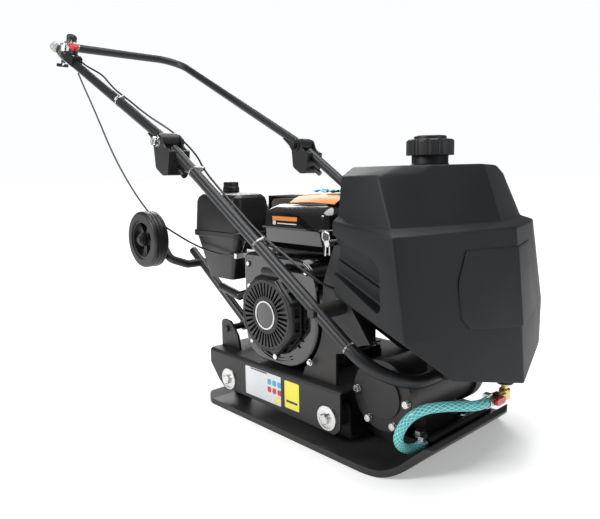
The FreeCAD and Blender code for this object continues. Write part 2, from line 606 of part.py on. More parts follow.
def recoil_cover():
    """The starter cover: a shallow pan with radial slots, and the plain round badge on it."""
    pan = disc(RECOIL_RADIUS, CRANK_X, CRANK_Z, RECOIL_FACE, BLOWER_NEAR)
    pan = soften(pan, 9, lambda e: abs(e.CenterOfMass.y - RECOIL_FACE) < 0.1)
    hollow = disc(RECOIL_RADIUS - RECOIL_WALL, CRANK_X, CRANK_Z, RECOIL_FACE + 8, BLOWER_NEAR)
    hollow = hollow.fuse(disc(RECOIL_RADIUS - 9, CRANK_X, CRANK_Z,
                              RECOIL_FACE + RECOIL_WALL, BLOWER_NEAR))
    slots = []
    for k in range(SLOT_COUNT):
        slot = box(CRANK_X + SLOT_INNER, CRANK_X + SLOT_OUTER, RECOIL_FACE - 1, RECOIL_FACE + 5,
                   CRANK_Z - SLOT_WIDTH / 2, CRANK_Z + SLOT_WIDTH / 2)
        slot.rotate(V(CRANK_X, 0, CRANK_Z), Y, 360.0 * k / SLOT_COUNT)
        slots.append(slot)
    badge = disc(27, CRANK_X, CRANK_Z, RECOIL_FACE - 3, RECOIL_FACE)
    return [pan.cut([hollow] + slots), badge]


def recoil_grip():
    """The starter handle on its rope stem, drawn from the top of the fan housing."""
    x, y, z = -5.0, RECOIL_FACE - 2.0, 342.0
    bar = rod(9, (x - 27, y, z), (x + 27, y, z))
    bar = soften(bar, 4, lambda e: True)
    stem = rod(5, (x, y + 6, z), (x, BLOWER_NEAR - GAP, z))
    return bar.fuse(stem).removeSplitter()


def crankshaft():
    """Crankshaft, flywheel with its fan and, on the far side, the clutch drum for the belt."""
    shaft = disc(CRANK_RADIUS, CRANK_X, CRANK_Z, FLYWHEEL_NEAR - 10, BELT_Y + PULLEY_HALF)
    wheel = disc(FLYWHEEL_RADIUS, CRANK_X, CRANK_Z, FLYWHEEL_NEAR + 14, FLYWHEEL_FAR)
    blades = []
    for k in range(12):
        blade = box(CRANK_X + 46, CRANK_X + FLYWHEEL_RADIUS - 4, FLYWHEEL_NEAR - 6,
                    FLYWHEEL_NEAR + 14, CRANK_Z - 1.5, CRANK_Z + 1.5)
        blade.rotate(V(CRANK_X, 0, CRANK_Z), Y, 30.0 * k)
        blades.append(blade)
    wheel = wheel.fuse(blades).removeSplitter().cut(shaft)
    clutch = grooved_pulley(CLUTCH_RADIUS, CRANK_X, CRANK_Z, CRANK_RADIUS)
    return [shaft, wheel, clutch]


def fuel_tank():
    """Two pressed halves with a seam flange, hollow, with the filler neck."""
    outer = box(TANK_REAR, TANK_FRONT, TANK_NEAR, TANK_FAR, TANK_BOTTOM, TANK_TOP)
    outer = soften(outer, 26, upright)
    outer = soften(outer, 15, lambda e: e.BoundBox.ZMin > TANK_TOP - 1)
    outer = soften(outer, 6, lambda e: e.BoundBox.ZMax < TANK_BOTTOM + 1)
    wall = 2.0
    inner = box(TANK_REAR + wall, TANK_FRONT - wall, TANK_NEAR + wall, TANK_FAR - wall,
                TANK_BOTTOM + wall, TANK_TOP - wall)
    inner = soften(inner, 24, upright)
    inner = soften(inner, 13, lambda e: e.BoundBox.ZMin > TANK_TOP - wall - 1)
    flange = box(TANK_REAR - 5, TANK_FRONT + 5, TANK_NEAR - 5, TANK_FAR + 5,
                 TANK_SEAM - 1.5, TANK_SEAM + 1.5)
    flange = soften(flange, 30, upright)
    neck_top = TANK_TOP + 8
    neck = rod(FUEL_NECK_RADIUS, FUEL_NECK + (TANK_TOP - wall,), FUEL_NECK + (neck_top,))
    mouth = rod(FUEL_NECK_RADIUS - 2, FUEL_NECK + (TANK_TOP - 10,), FUEL_NECK + (neck_top,))
    return outer.fuse([flange, neck]).removeSplitter().cut([inner, mouth])


def fuel_cap():
    bottom = TANK_TOP + GAP
    cap = rod(FUEL_CAP_RADIUS, FUEL_NECK + (bottom,), FUEL_NECK + (bottom + 21,))
    cap = soften(cap, 4, lambda e: e.BoundBox.ZMin > bottom + 20)
    grips = [rod(4, (FUEL_NECK[0] + 32 * math.cos(a), FUEL_NECK[1] + 32 * math.sin(a), bottom),
                 (FUEL_NECK[0] + 32 * math.cos(a), FUEL_NECK[1] + 32 * math.sin(a), bottom + 15))
             for a in [math.radians(30 * k) for k in range(12)]]
    hollow = rod(FUEL_NECK_RADIUS + GAP, FUEL_NECK + (bottom,), FUEL_NECK + (bottom + 12,))
    return cap.cut(grips + [hollow])


def tapered(low, high):
    """A solid between two rounded rectangles given as x0, x1, y0, y1, z, radius."""
    wires = []
    for x0, x1, y0, y1, z, radius in (low, high):
        wires.append(route([(x0, y0, z), (x1, y0, z), (x1, y1, z), (x0, y1, z)], radius, True))
    return Part.makeLoft(wires, True, True)


def air_cleaner_base():
    body = tapered((AIR_REAR + 34, AIR_FRONT - 44, AIR_NEAR + 18, AIR_FAR - 14, AIR_BOTTOM, 10),
                   (AIR_REAR + 6, AIR_FRONT - 6, AIR_NEAR + 5, AIR_FAR - 5, AIR_RIM - 14, 16))
    rim = tapered((AIR_REAR, AIR_FRONT, AIR_NEAR, AIR_FAR, AIR_RIM - 14, 20),
                  (AIR_REAR, AIR_FRONT, AIR_NEAR, AIR_FAR, AIR_RIM, 20))
    return body.fuse(rim).removeSplitter()


def air_cleaner_cover():
    """The cover and the knob that holds it."""
    cover = tapered((AIR_REAR + 3, AIR_FRONT - 3, AIR_NEAR + 3, AIR_FAR - 3, AIR_RIM, 20),
                    (AIR_REAR + 9, AIR_FRONT - 9, AIR_NEAR + 8, AIR_FAR - 8, AIR_TOP, 16))
    cover = soften(cover, 7, lambda e: e.BoundBox.ZMin > AIR_TOP - 1)
    boss = rod(12, AIR_KNOB + (AIR_TOP,), AIR_KNOB + (AIR_TOP + 14,))
    knob = rod(18, AIR_KNOB + (AIR_TOP + 14,), AIR_KNOB + (AIR_TOP + 34,))
    knob = soften(knob, 3, lambda e: e.BoundBox.ZMin > AIR_TOP + 33)
    return [cover, boss.fuse(knob).removeSplitter()]


def muffler():
    x0, x1, y0, y1, z0, z1 = MUFFLER
    body = soften(box(x0, x1, y0, y1, z0, z1), 16, along_y)
    port = slanted(rod(15, (CRANK_X - 168, BARREL_Y + BARREL_HALF, CRANK_Z),
                       (CRANK_X - 168, y0, CRANK_Z)))
    outlet = rod(12, (x0 + 24, y1, z1 - 40), (x0 + 24, y1 + 26, z1 - 40))
    outlet = outlet.cut(rod(10, (x0 + 24, y1, z1 - 40), (x0 + 24, y1 + 26, z1 - 40)))
    return body.fuse([port, outlet]).removeSplitter()


def muffler_guard():
    """A slotted sheet shield over the top, the rear and the outer side of the muffler."""
    x0, x1, y0, y1, z0, z1 = MUFFLER
    g, t = GUARD_GAP, GUARD_SHEET
    shell = box(x0 - g, x1 + g, y0 - 4, y1 + g, z0 + 20, z1 + g)
    shell = shell.cut(box(x0 - g + t, x1 + g - t, y0 - 4, y1 + g - t, z0 + 20, z1 + g - t))
    slots = [box(x0 + 6 + 17 * k, x0 + 14 + 17 * k, y0 + 8, y1 - 6, z1, z1 + g + 1)
             for k in range(8)]
    slots += [box(x0 + 12 + 17 * k, x0 + 20 + 17 * k, y1, y1 + g + 1, z0 + 40, z1 - 60)
              for k in range(8)]
    slots.append(rod(14, (x0 + 24, y1, z1 - 40), (x0 + 24, y1 + 30, z1 - 40)))
    stays = [rod(5, (x0 + d, y1, z0 + 30), (x0 + d, y1 + g - t, z0 + 30)) for d in (30, 120)]
    return shell.cut(slots).fuse(stays)


def carburetor():
    """Carburettor body with its float bowl, between the air cleaner and the head."""
    body = box(-174, -143, -106, -46, 316, 362)
    bowl = rod(15, (-158, -84, 298), (-158, -84, 316))
    intake = rod(13, (-164, -46, 338), (-164, BARREL_Y - BARREL_HALF, 338))
    horn = rod(15, (-174, -84, 345), (-225, -84, 345))
    shape = body.fuse([bowl, intake, horn]).removeSplitter()
    return shape.cut([air_cleaner_base()] + cylinder_head())


ARM_X, ARM_Z = -157.0, 322.0
CLIP_X = (-192.0, -182.0)
CABLE_END_Y, CABLE_END_Z = -150.0, 354.0


def control_plate():
    """The plate at the housing's rear edge that the throttle arm turns on."""
    plate = box(-174, BLOWER_REAR, -131, -128, 302, 370)
    clip = box(*CLIP_X, CABLE_END_Y - 5, -128, CABLE_END_Z - 6, CABLE_END_Z + 6)
    strap = box(CLIP_X[0], -174, -131, -128, CABLE_END_Z - 6, CABLE_END_Z + 6)
    plate = plate.fuse([clip, strap]).removeSplitter()
    return plate.cut(disc(M6 + RUN_FIT, ARM_X, ARM_Z, -140, -120))


def throttle_arm():
    arm = plate_xz([(ARM_X - 7, ARM_Z - 7), (ARM_X + 7, ARM_Z - 7),
                    (ARM_X + 4, ARM_Z + 40), (ARM_X - 4, ARM_Z + 40)],
                   -131 - GAP - 3, -131 - GAP, 3)
    pin = disc(M6, ARM_X, ARM_Z, -140, -126)
    head = disc(6, ARM_X, ARM_Z, -140, -131 - GAP - 3)
    keeper = disc(5, ARM_X, ARM_Z, -128 + GAP, -124)
    return arm.fuse([pin, head, keeper]).removeSplitter()


def spark_plug():
    """The plug in the head and its elbow cap."""
    seat, elbow, end = (-200, -34, 268), (-258, -92, 240), (-330, -93, 255)
    plug = rod(8, seat, (-236, -70, 250.6))
    plug = plug.cut(cylinder_head())
    cap = rod(11, (-236, -70, 250.6), elbow).fuse([Part.makeSphere(11, V(*elbow)),
                                                  rod(11, elbow, end)])
    return [max(plug.Solids, key=lambda s: s.Volume), cap.removeSplitter().cut(plug)]


def engine_fasteners():
    """Bolts of the engine feet, oil filler plug, drain plug and housing screws."""
    top = DECK_TOP + RAIL_HEIGHT + 9
    shapes = [bolt(M8, (x, y, top), (x, y, DECK_TOP - DECK_SHEET - 8), 9) for x, y in engine_bolts_at()]
    z = DECK_TOP + RAIL_HEIGHT + 22
    shapes.append(hexagon(17, (CASE_FRONT, 20, z), (CASE_FRONT + 9, 20, z)))
    shapes.append(rod(15, (CASE_FRONT, -34, z + 24), (CASE_FRONT + 16, -34, z + 24)))
    for x, z in bolt_circle(3, RECOIL_RADIUS + 9, CRANK_X, CRANK_Z, 30):
        shapes.append(disc(6, x, z, BLOWER_NEAR - 6, BLOWER_NEAR))
    return shapes


# ---------------------------------------------------------------- water tank and sprinkler

def tank_form(inset):
    """The tank's outer form, or with an inset the space inside its walls."""
    wires = []
    for i, (z, ridge, corner_x, corner_y, rear_x, rear_y) in enumerate(TANK_SECTIONS):
        height = z - inset if i >= 2 else z
        points = [(rear_x + inset, inset - rear_y, height), (corner_x - inset, inset - corner_y, height),
                  (ridge - inset, 0, height), (corner_x - inset, corner_y - inset, height),
                  (rear_x + inset, rear_y - inset, height)]
        wires.append(Part.makePolygon([V(*p) for p in points + points[:1]]))
    shape = Part.makeLoft(wires, True, True)
    slope = math.radians(LOWER_SLOPE)
    over_bar = (322, 0, 196 + inset * 1.2)
    side_run = V(-175, 0, 70)
    side_edge = V(398 - 366, 149 - 236, 195 - 266)
    normal = side_run.cross(side_edge).normalize()
    if normal.z > 0:
        normal = -normal
    cuts = [half_space((0, 0, TANK_NOSE_BOTTOM + inset), (0, 0, -1)),
            half_space(over_bar, (-math.sin(slope), 0, -math.cos(slope)))]
    for side in (-1, 1):
        point = V(366, side * 236, 266) - V(normal.x, side * normal.y, normal.z) * inset
        cuts.append(half_space(point, (normal.x, side * normal.y, normal.z)))
    return shape.cut(cuts)


def tank_recess(side, inset):
    """The sunk panel in each flank, open to the rear."""
    y0 = 214.0 - RECESS_DEPTH - inset
    outline = [(150, 441 + inset), (284 + inset, 398 + inset), (298 + inset, 386 + inset),
               (298 + inset, 316 - inset), (150, 384 - inset)]
    cut = plate_xz(outline, y0, y0 + 60, [0, 6, 6, 14, 0])
    return cut if side > 0 else cut.mirror(V(0, 0, 0), Y)


def water_tank():
    outer = tank_form(0).cut([tank_recess(s, 0) for s in (-1, 1)])
    inner = tank_form(TANK_WALL).cut([tank_recess(s, TANK_WALL) for s in (-1, 1)])
    top = TANK_SECTIONS[-1][0]
    neck = rod(NECK_RADIUS, (NECK_X, 0, top - TANK_WALL), (NECK_X, 0, NECK_TOP))
    neck = neck.fuse(rod(NECK_RADIUS + 6, (NECK_X, 0, top - TANK_WALL), (NECK_X, 0, top + 8)))
    mouth = rod(NECK_BORE, (NECK_X, 0, top - TANK_WALL - 5), (NECK_X, 0, NECK_TOP))
    boss = rod(16, (VALVE_X, 0, TANK_NOSE_BOTTOM - 6), (VALVE_X, 0, TANK_NOSE_BOTTOM + 12))
    shape = outer.fuse([neck, boss]).cut([inner.cut(boss), mouth])
    drain = rod(M8 + 2, (VALVE_X, 0, TANK_NOSE_BOTTOM - 10), (VALVE_X, 0, TANK_NOSE_BOTTOM + 14))
    lugs = []
    for side in (-1, 1):
        y0 = LUG_INNER if side > 0 else -LUG_INNER - LUG_THICK
        lug = plate_xz([(ROD_X - 13, ROD_Z - 13), (194, ROD_Z - 20),
                        (194, ROD_Z + 20), (ROD_X - 13, ROD_Z + 13)],
                       y0, y0 + LUG_THICK, [9, 0, 0, 9])
        lugs.append(lug.cut(inner))
    shape = shape.fuse(lugs).removeSplitter()
    return shape.cut([drain, disc(ROD_RADIUS + BOLT_FIT, ROD_X, ROD_Z, -ROD_END, ROD_END)])


def tank_rod():
    """The cross rod that the tank hangs on, with a ring clip at each end."""
    cross = disc(ROD_RADIUS, ROD_X, ROD_Z, -ROD_END, ROD_END)
    clips = []
    for side in (-1, 1):
        y = side * (ROD_END - 7)
        cross = cross.cut(rod(1.6, (ROD_X, y, ROD_Z - 10), (ROD_X, y, ROD_Z + 10)))
        wire = route([(ROD_X, y, ROD_Z - 22), (ROD_X, y, ROD_Z + 16), (ROD_X - 18, y, ROD_Z + 24),
                      (ROD_X - 18, y, ROD_Z + 8), (ROD_X - 9, y, ROD_Z - 2),
                      (ROD_X - 11, y, ROD_Z - 24)], [0, 6, 6, 5, 5, 0])
        clips.append(sweep(wire, 1.5))
    return [cross] + clips


def water_cap():
    """A screw cap with finger lobes round its rim and a raised centre."""
    body = rod(CAP_RADIUS, (NECK_X, 0, CAP_BOTTOM), (NECK_X, 0, CAP_RIM))
    body = soften(body, 5, lambda e: e.BoundBox.ZMin > CAP_RIM - 1)
    centre = rod(31, (NECK_X, 0, CAP_RIM), (NECK_X, 0, CAP_TOP))
    centre = soften(centre, 3, lambda e: e.BoundBox.ZMin > CAP_TOP - 1)
    notches = []
    for k in range(CAP_LOBES):
        a = math.radians(360 * k / CAP_LOBES)
        at = (NECK_X + (CAP_RADIUS + 4.5) * math.cos(a), (CAP_RADIUS + 4.5) * math.sin(a))
        notches.append(rod(7.5, at + (CAP_BOTTOM,), at + (CAP_RIM + 1,)))
    hollow = rod(NECK_RADIUS + GAP, (NECK_X, 0, CAP_BOTTOM), (NECK_X, 0, NECK_TOP + GAP))
    return body.fuse(centre).removeSplitter().cut(notches + [hollow])


LEVER_Y = -40.0


def tank_outlet():
    """Brass elbow, small ball valve and hose tail."""
    drop = rod(M8 + 2, (VALVE_X, 0, VALVE_Z), (VALVE_X, 0, TANK_NOSE_BOTTOM + 10))
    knee = soften(rod(10, (VALVE_X, 0, VALVE_Z - 10), (VALVE_X, 0, VALVE_Z + 10)), 3, lambda e: True)
    nut = hexagon(24, (VALVE_X, 0, TANK_NOSE_BOTTOM - 14), (VALVE_X, 0, TANK_NOSE_BOTTOM - 6))
    arm = rod(8, (VALVE_X, 0, VALVE_Z), (VALVE_X, -30, VALVE_Z))
    body = hexagon(20, (VALVE_X, LEVER_Y + 12, VALVE_Z), (VALVE_X, LEVER_Y - 12, VALVE_Z))
    tail = rod(HOSE_RADIUS - HOSE_WALL, (VALVE_X, LEVER_Y - 12, VALVE_Z),
               (VALVE_X, LEVER_Y - 28, VALVE_Z))
    stem_hole = rod(3 + RUN_FIT, (VALVE_X, LEVER_Y, VALVE_Z), (VALVE_X + 30, LEVER_Y, VALVE_Z))
    return drop.fuse([knee, nut, arm, body, tail]).removeSplitter().cut(stem_hole)


def valve_lever():
    face = VALVE_X + 10 + GAP
    stem = rod(3, (VALVE_X + 2, LEVER_Y, VALVE_Z), (face, LEVER_Y, VALVE_Z))
    bar = box(face, face + 6, LEVER_Y - 14, LEVER_Y + 14, VALVE_Z - 6, VALVE_Z + 6)
    bar = soften(bar, 4, lambda e: abs(e.tangentAt(e.FirstParameter).x) > 0.99)
    return stem.fuse(bar).removeSplitter()


HOSE_ROUTE = (
    (VALVE_X, -53.0, VALVE_Z), (VALVE_X, -86.0, VALVE_Z), (394.0, -114.0, 143.0),
    (370.0, -136.0, 142.0), (345.0, -156.0, 136.0), (325.0, -172.0, 120.0),
    (313.0, -181.0, 98.0), (305.0, -180.0, 74.0), (303.0, -166.0, 55.0),
    (306.0, -147.0, 45.0), (BAR_X, -127.0, BAR_Z), (BAR_X, BAR_NEAR, BAR_Z),
)


def cord_radii(points, thickness, least):
    """Each arc as large as its two runs allow."""
    points = [V(*p) for p in points]
    radii = [0.0]
    for before, point, after in zip(points, points[1:], points[2:]):
        turn = (point - before).getAngle(after - point)
        shorter = min((point - before).Length, (after - point).Length)
        radii.append(0.45 * shorter / math.tan(turn / 2))
    print("smallest bend, in diameters:", round(min(radii[1:]) / thickness, 1), "of", least)
    return radii + [0.0]


def water_hose():
    radii = cord_radii(HOSE_ROUTE, HOSE_RADIUS * 2, 2)
    wire = route(HOSE_ROUTE, radii)
    return sweep(wire, HOSE_RADIUS).cut(sweep(wire, HOSE_RADIUS - HOSE_WALL))


def hose_clamps():
    """A worm-drive band at each end of the hose."""
    shapes = []
    for y, x, z in ((-61.0, VALVE_X, VALVE_Z), (-111.0, BAR_X, BAR_Z)):
        band = disc(HOSE_RADIUS + 1.6, x, z, y - 5, y + 5)
        screw = box(x - 6, x + 6, y - 6, y + 6, z + HOSE_RADIUS, z + HOSE_RADIUS + 7)
        bore = disc(HOSE_RADIUS + 0.4, x, z, y - 8, y + 8)
        shapes.append(band.fuse(screw).removeSplitter().cut(bore))
    return shapes


def below_plate():
    """The space under the plate's lip, where nothing hangs."""
    return plate_xz([(BAR_X - 40, -50), (PLATE_FRONT + 20, -50), (PLATE_FRONT + 20, 60),
                     (PLATE_FRONT - 6, 46), (BAR_X + 20, 24), (BAR_X - 20, 8)],
                    -PLATE_HALF, PLATE_HALF)


def sprinkler_bar():
    """Drilled tube across the front, on two welded clips, with a tail for the hose."""
    bar = disc(BAR_RADIUS, BAR_X, BAR_Z, BAR_NEAR + 6, BAR_FAR)
    tail = disc(HOSE_RADIUS - HOSE_WALL, BAR_X, BAR_Z, BAR_NEAR - 12, BAR_NEAR + 6)
    shape = bar.fuse(tail)
    for y in (-70.0, 70.0):
        shape = shape.fuse(box(BAR_X - 9, BAR_X + 9, y - 8, y + 8, PLATE_THICK, BAR_Z))
    holes = [rod(1.5, (BAR_X, y, BAR_Z), (BAR_X + 8, y, BAR_Z - 20)) for y in range(-90, 111, 20)]
    return shape.removeSplitter().cut([bent_plate(), below_plate()]).cut(holes)


# ---------------------------------------------------------------- handle

def lower_handle():
    points = [on_lower(LOWER_START, -HANDLE_Y), on_lower(LOWER_LENGTH, -HANDLE_Y),
              on_lower(LOWER_LENGTH, HANDLE_Y), on_lower(LOWER_START, HANDLE_Y)]
    shape = bent_tube(points, LOWER_BEND, TUBE, TUBE_BORE)
    bush = on_lower(BUSH_S, 0)
    return shape.cut(disc(M10 + BOLT_FIT, bush[0], bush[2], -300, 300))


def tank_pads():
    """Rubber saddles on the lower crossbar, under the water tank."""
    bar = on_lower(LOWER_LENGTH, 0)
    shapes = []
    for y in (-70.0, 70.0):
        block = box(bar[0] - 22, bar[0] + 22, y - 15, y + 15, bar[2] - 4, bar[2] + 60)
        block = block.cut([disc(TUBE, bar[0], bar[2], y - 15, y + 15), tank_form(0)])
        shapes.append(max(block.Solids, key=lambda s: -s.CenterOfMass.z))
    return shapes


def handle_brackets():
    """Folded U brackets on the lower tube that carry the knuckle pins."""
    inner, outer = HANDLE_Y - DRUM_HALF - 1 - EAR_SHEET, HANDLE_Y + DRUM_HALF + 1 + EAR_SHEET
    outline = [(-19, 17), (-10, -62), (20, -80), (42, -80), (54, -24), (30, -14), (19, 17)]
    outline = [(PIVOT_X + x, PIVOT_Z + z) for x, z in outline]
    profile = plate_xz(outline, inner, outer, [17, 12, 14, 5, 4, 22, 17])
    t = EAR_SHEET
    channel = [(-60, 60), (-60, -62), (8, -96), (20, -76), (42 - t, -76), (54 - t, -20),
               (54 - t, 60)]
    channel = [(PIVOT_X + x, PIVOT_Z + z) for x, z in channel]
    room = plate_xz(channel, inner + t, outer - t)
    tube_bore = rod(TUBE, on_lower(-60, HANDLE_Y), on_lower(120, HANDLE_Y))
    bracket = profile.cut(room)
    bracket = bracket.cut([tube_bore, disc(M12 + RUN_FIT, PIVOT_X, PIVOT_Z, 0, 300), pin_room(1)])
    return both_sides(bracket)


def pin_room(side):
    start, end = pin_ends(side)
    return rod(M10 + RUN_FIT, start, (V(*end) + (V(*end) - V(*start))))


def pin_ends(side):
    y = side * HANDLE_Y
    return on_lower(62, y, -28), on_lower(104, y, -28)


def lock_pin(side):
    """A sprung pin through the bracket's front web; its nose bears on the knuckle's stop."""
    start, end = pin_ends(side)
    pin = rod(M10, start, end)
    ring = rod(M10 + 2.5, on_lower(96, side * HANDLE_Y, -28), end)
    return pin.fuse(ring).removeSplitter()


def handle_bolts():
    """Pivot bolts of both knuckles and the two bolts that hold the handle to its supports."""
    ear = HANDLE_Y + DRUM_HALF + 1 + EAR_SHEET
    far_ear = HANDLE_Y - DRUM_HALF - 1 - EAR_SHEET
    shapes = []
    pivot = bolt(M12, (PIVOT_X, ear, PIVOT_Z), (PIVOT_X, far_ear - 14, PIVOT_Z), 14, 2.5)
    nut = hexagon(19, (PIVOT_X, far_ear - 3, PIVOT_Z), (PIVOT_X, far_ear - 13, PIVOT_Z))
    washer = disc(18, PIVOT_X, PIVOT_Z, far_ear - 3, far_ear)
    shapes += both_sides(pivot.fuse([nut, washer]).removeSplitter())
    x, _, z = on_lower(BUSH_S, 0)
    clamp = bolt(M10, (x, HANDLE_Y + TUBE, z), (x, SUPPORT_Y - 16, z))
    nut = hexagon(16, (x, SUPPORT_Y - 3, z), (x, SUPPORT_Y - 12, z))
    shapes += both_sides(clamp.fuse(nut).removeSplitter())
    return shapes


def handle_bushes():
    """Rubber bushes between the supports and the handle tube."""
    x, _, z = on_lower(BUSH_S, 0)
    bush = disc(BUSH_RADIUS, x, z, SUPPORT_Y + SUPPORT_SHEET / 2, HANDLE_Y)
    leg = rod(TUBE, on_lower(LOWER_START, HANDLE_Y), on_lower(LOWER_LENGTH - 120, HANDLE_Y))
    bush = bush.cut([leg, disc(M10 + BOLT_FIT, x, z, 0, 300)])
    return both_sides(min(bush.Solids, key=lambda s: s.CenterOfMass.y))


def upper_handle():
    points = [on_upper(UPPER_START, -HANDLE_Y), on_upper(UPPER_LENGTH, -HANDLE_Y),
              on_upper(UPPER_LENGTH, HANDLE_Y), on_upper(UPPER_START, HANDLE_Y)]
    drums = [disc(BARREL_DRUM, PIVOT_X, PIVOT_Z, side * HANDLE_Y - DRUM_HALF,
                  side * HANDLE_Y + DRUM_HALF) for side in (-1, 1)]
    return bent_tube(points, UPPER_BEND, TUBE, TUBE_BORE).cut(drums)


def handle_barrels():
    """The knuckle barrel at each end of the upper tube, with the gusset under the tube."""
    leg = rod(TUBE, on_upper(0, HANDLE_Y), on_upper(200, HANDLE_Y))
    drum = disc(BARREL_DRUM, PIVOT_X, PIVOT_Z, HANDLE_Y - DRUM_HALF, HANDLE_Y + DRUM_HALF)
    foot, tip = on_upper(16, 0, -24), on_upper(76, 0, -TUBE + 2)
    gusset = plate_xz([(PIVOT_X - 4, PIVOT_Z - 4), (foot[0], foot[2]), (tip[0], tip[2])],
                      HANDLE_Y - 11, HANDLE_Y + 11)
    bore = disc(M12 + RUN_FIT, PIVOT_X, PIVOT_Z, 0, 300)
    return both_sides(drum.fuse(gusset.cut(leg)).removeSplitter().cut(bore))


# ---------------------------------------------------------------- controls

LEVER_S = 638.0
LEVER_TIP = (728.0, -165.0)
LEVER_LOW, LEVER_TOP = TUBE + 14 + GAP, TUBE + 18 + GAP


def throttle_base():
    """Clamp band on the near leg, the lever's seat on top and the wing bolt below."""
    y = -HANDLE_Y
    band = rod(TUBE + 3, on_upper(LEVER_S - 9, y), on_upper(LEVER_S + 9, y))
    block = rod(13, on_upper(LEVER_S, y, TUBE), on_upper(LEVER_S, y, TUBE + 14))
    wing = rod(4, on_upper(LEVER_S, y, -TUBE), on_upper(LEVER_S, y, -TUBE - 18))
    tab = on_upper(LEVER_S, y, -TUBE - 18)
    bar = rod(4, (tab[0] - 13, tab[1], tab[2] - 5), (tab[0] + 13, tab[1], tab[2] + 5))
    leg = rod(TUBE, on_upper(LEVER_S - 60, y), on_upper(LEVER_S + 60, y))
    pivot_hole = rod(4 + RUN_FIT, on_upper(LEVER_S, y, 0), on_upper(LEVER_S, y, 60))
    return band.fuse([block, wing, bar]).removeSplitter().cut([leg, pivot_hole])


def throttle_lever():
    """A flat lever on a pin through the seat, with a domed grip at its free end."""
    y = -HANDLE_Y
    hub = rod(13, on_upper(LEVER_S, y, LEVER_LOW), on_upper(LEVER_S, y, LEVER_TOP))
    pin = rod(4, on_upper(LEVER_S, y, TUBE + 2), on_upper(LEVER_S, y, LEVER_TOP + 5))
    tip_s, tip_y = LEVER_TIP
    corners = [on_upper(LEVER_S, y - 10, LEVER_LOW), on_upper(tip_s, tip_y - 6, LEVER_LOW),
               on_upper(tip_s, tip_y + 6, LEVER_LOW), on_upper(LEVER_S, y + 10, LEVER_LOW)]
    rise = V(*on_upper(0, 0, LEVER_TOP)) - V(*on_upper(0, 0, LEVER_LOW))
    blade = prism(corners, rise)
    crown = on_upper(tip_s, tip_y, LEVER_TOP + 8)
    grip = rod(15, on_upper(tip_s, tip_y, LEVER_LOW - 9), crown)
    grip = soften(grip, 8, lambda e: (e.CenterOfMass - V(*crown)).Length < 1)
    return hub.fuse([pin, blade, grip]).removeSplitter()


SWITCH_S = 566.0
BUTTON_OUT = 34.0


def switch_box():
    """Saddle on the near leg that holds the stop button."""
    y = -HANDLE_Y
    base = on_upper(SWITCH_S - 26, y)
    along = V(*on_upper(SWITCH_S + 26, y)) - V(*base)
    outline = [on_upper(SWITCH_S - 26, y - 16, -6), on_upper(SWITCH_S - 26, y + 15, -6),
               on_upper(SWITCH_S - 26, y + 15, 26), on_upper(SWITCH_S - 26, y - 16, 26)]
    body = prism(outline, along, [2, 2, 8, 8])
    collar = rod(13, on_upper(SWITCH_S + 8, y, 20), on_upper(SWITCH_S + 8, y, BUTTON_OUT))
    leg = rod(TUBE, on_upper(SWITCH_S - 80, y), on_upper(SWITCH_S + 80, y))
    well = rod(9 + GAP, on_upper(SWITCH_S + 8, y, BUTTON_OUT - 10), on_upper(SWITCH_S + 8, y, 60))
    return body.fuse(collar).removeSplitter().cut([leg, well])


def stop_button():
    """Red mushroom button that travels into its collar."""
    y = -HANDLE_Y
    stem = rod(9, on_upper(SWITCH_S + 8, y, BUTTON_OUT - 5), on_upper(SWITCH_S + 8, y, BUTTON_OUT + 5))
    head = rod(16, on_upper(SWITCH_S + 8, y, BUTTON_OUT + 5), on_upper(SWITCH_S + 8, y, BUTTON_OUT + 16))
    head = soften(head, 4, lambda e: True)
    return stem.fuse(head).removeSplitter()


# ---------------------------------------------------------------- cords

CABLE_ROUTE = (
    (-866.0, -206.6, 846.0), (-842.0, -203.0, 806.0), (-806.0, -198.0, 752.0),
    (-772.0, -192.0, 694.0), (-738.0, -186.0, 634.0), (-700.0, -180.0, 578.0),
    (-655.0, -175.0, 526.0), (-605.0, -172.0, 480.0), (-550.0, -170.0, 440.0),
    (-490.0, -168.0, 412.0), (-428.0, -168.0, 394.0), (-376.0, -167.0, 379.0),
    (-320.0, -166.0, 366.0), (-264.0, -166.0, 358.0), (-229.0, -163.0, 355.0),
    (-209.0, -156.0, CABLE_END_Z),
    (CLIP_X[0], CABLE_END_Y, CABLE_END_Z),
)
WIRE_SIDE = 48.0                # how far inboard of the leg the wire passes the knuckle
UPPER_WIRE_ROUTE = tuple(
    on_upper(s, -HANDLE_Y + side, out) for s, side, out in
    ((SWITCH_S - 26, 6.5, 15.6), (500.0, 6.5, 15.4), (462.0, 8.0, 18.0), (424.0, 9.0, 22.0),
     (386.0, 9.0, 24.0), (344.0, 8.0, 19.0), (302.0, 7.0, 15.4), (262.0, 8.0, 15.6),
     (218.0, 10.0, 15.8), (168.0, 15.0, 12.0), (124.0, 27.0, 7.0), (84.0, 41.0, 4.0),
     (46.0, WIRE_SIDE, 1.0), (10.0, WIRE_SIDE, 0.0))
)
LOWER_WIRE_ROUTE = tuple(
    on_lower(s, -HANDLE_Y + side, out) for s, side, out in
    ((0.0, WIRE_SIDE, 0.0), (40.0, WIRE_SIDE, 1.0), (80.0, 41.0, 4.0), (120.0, 27.0, 8.0),
     (162.0, 15.0, 13.0), (210.0, 9.0, 16.0), (256.0, 8.0, 15.8), (304.0, 7.0, 16.4),
     (352.0, 7.0, 16.0), (396.0, 8.0, 17.0), (438.0, 9.0, 22.0), (480.0, 10.0, 28.0),
     (520.0, 14.0, 30.0), (556.0, 26.0, 30.0), (576.0, 43.0, 28.0), (588.0, 62.0, 26.0))
)


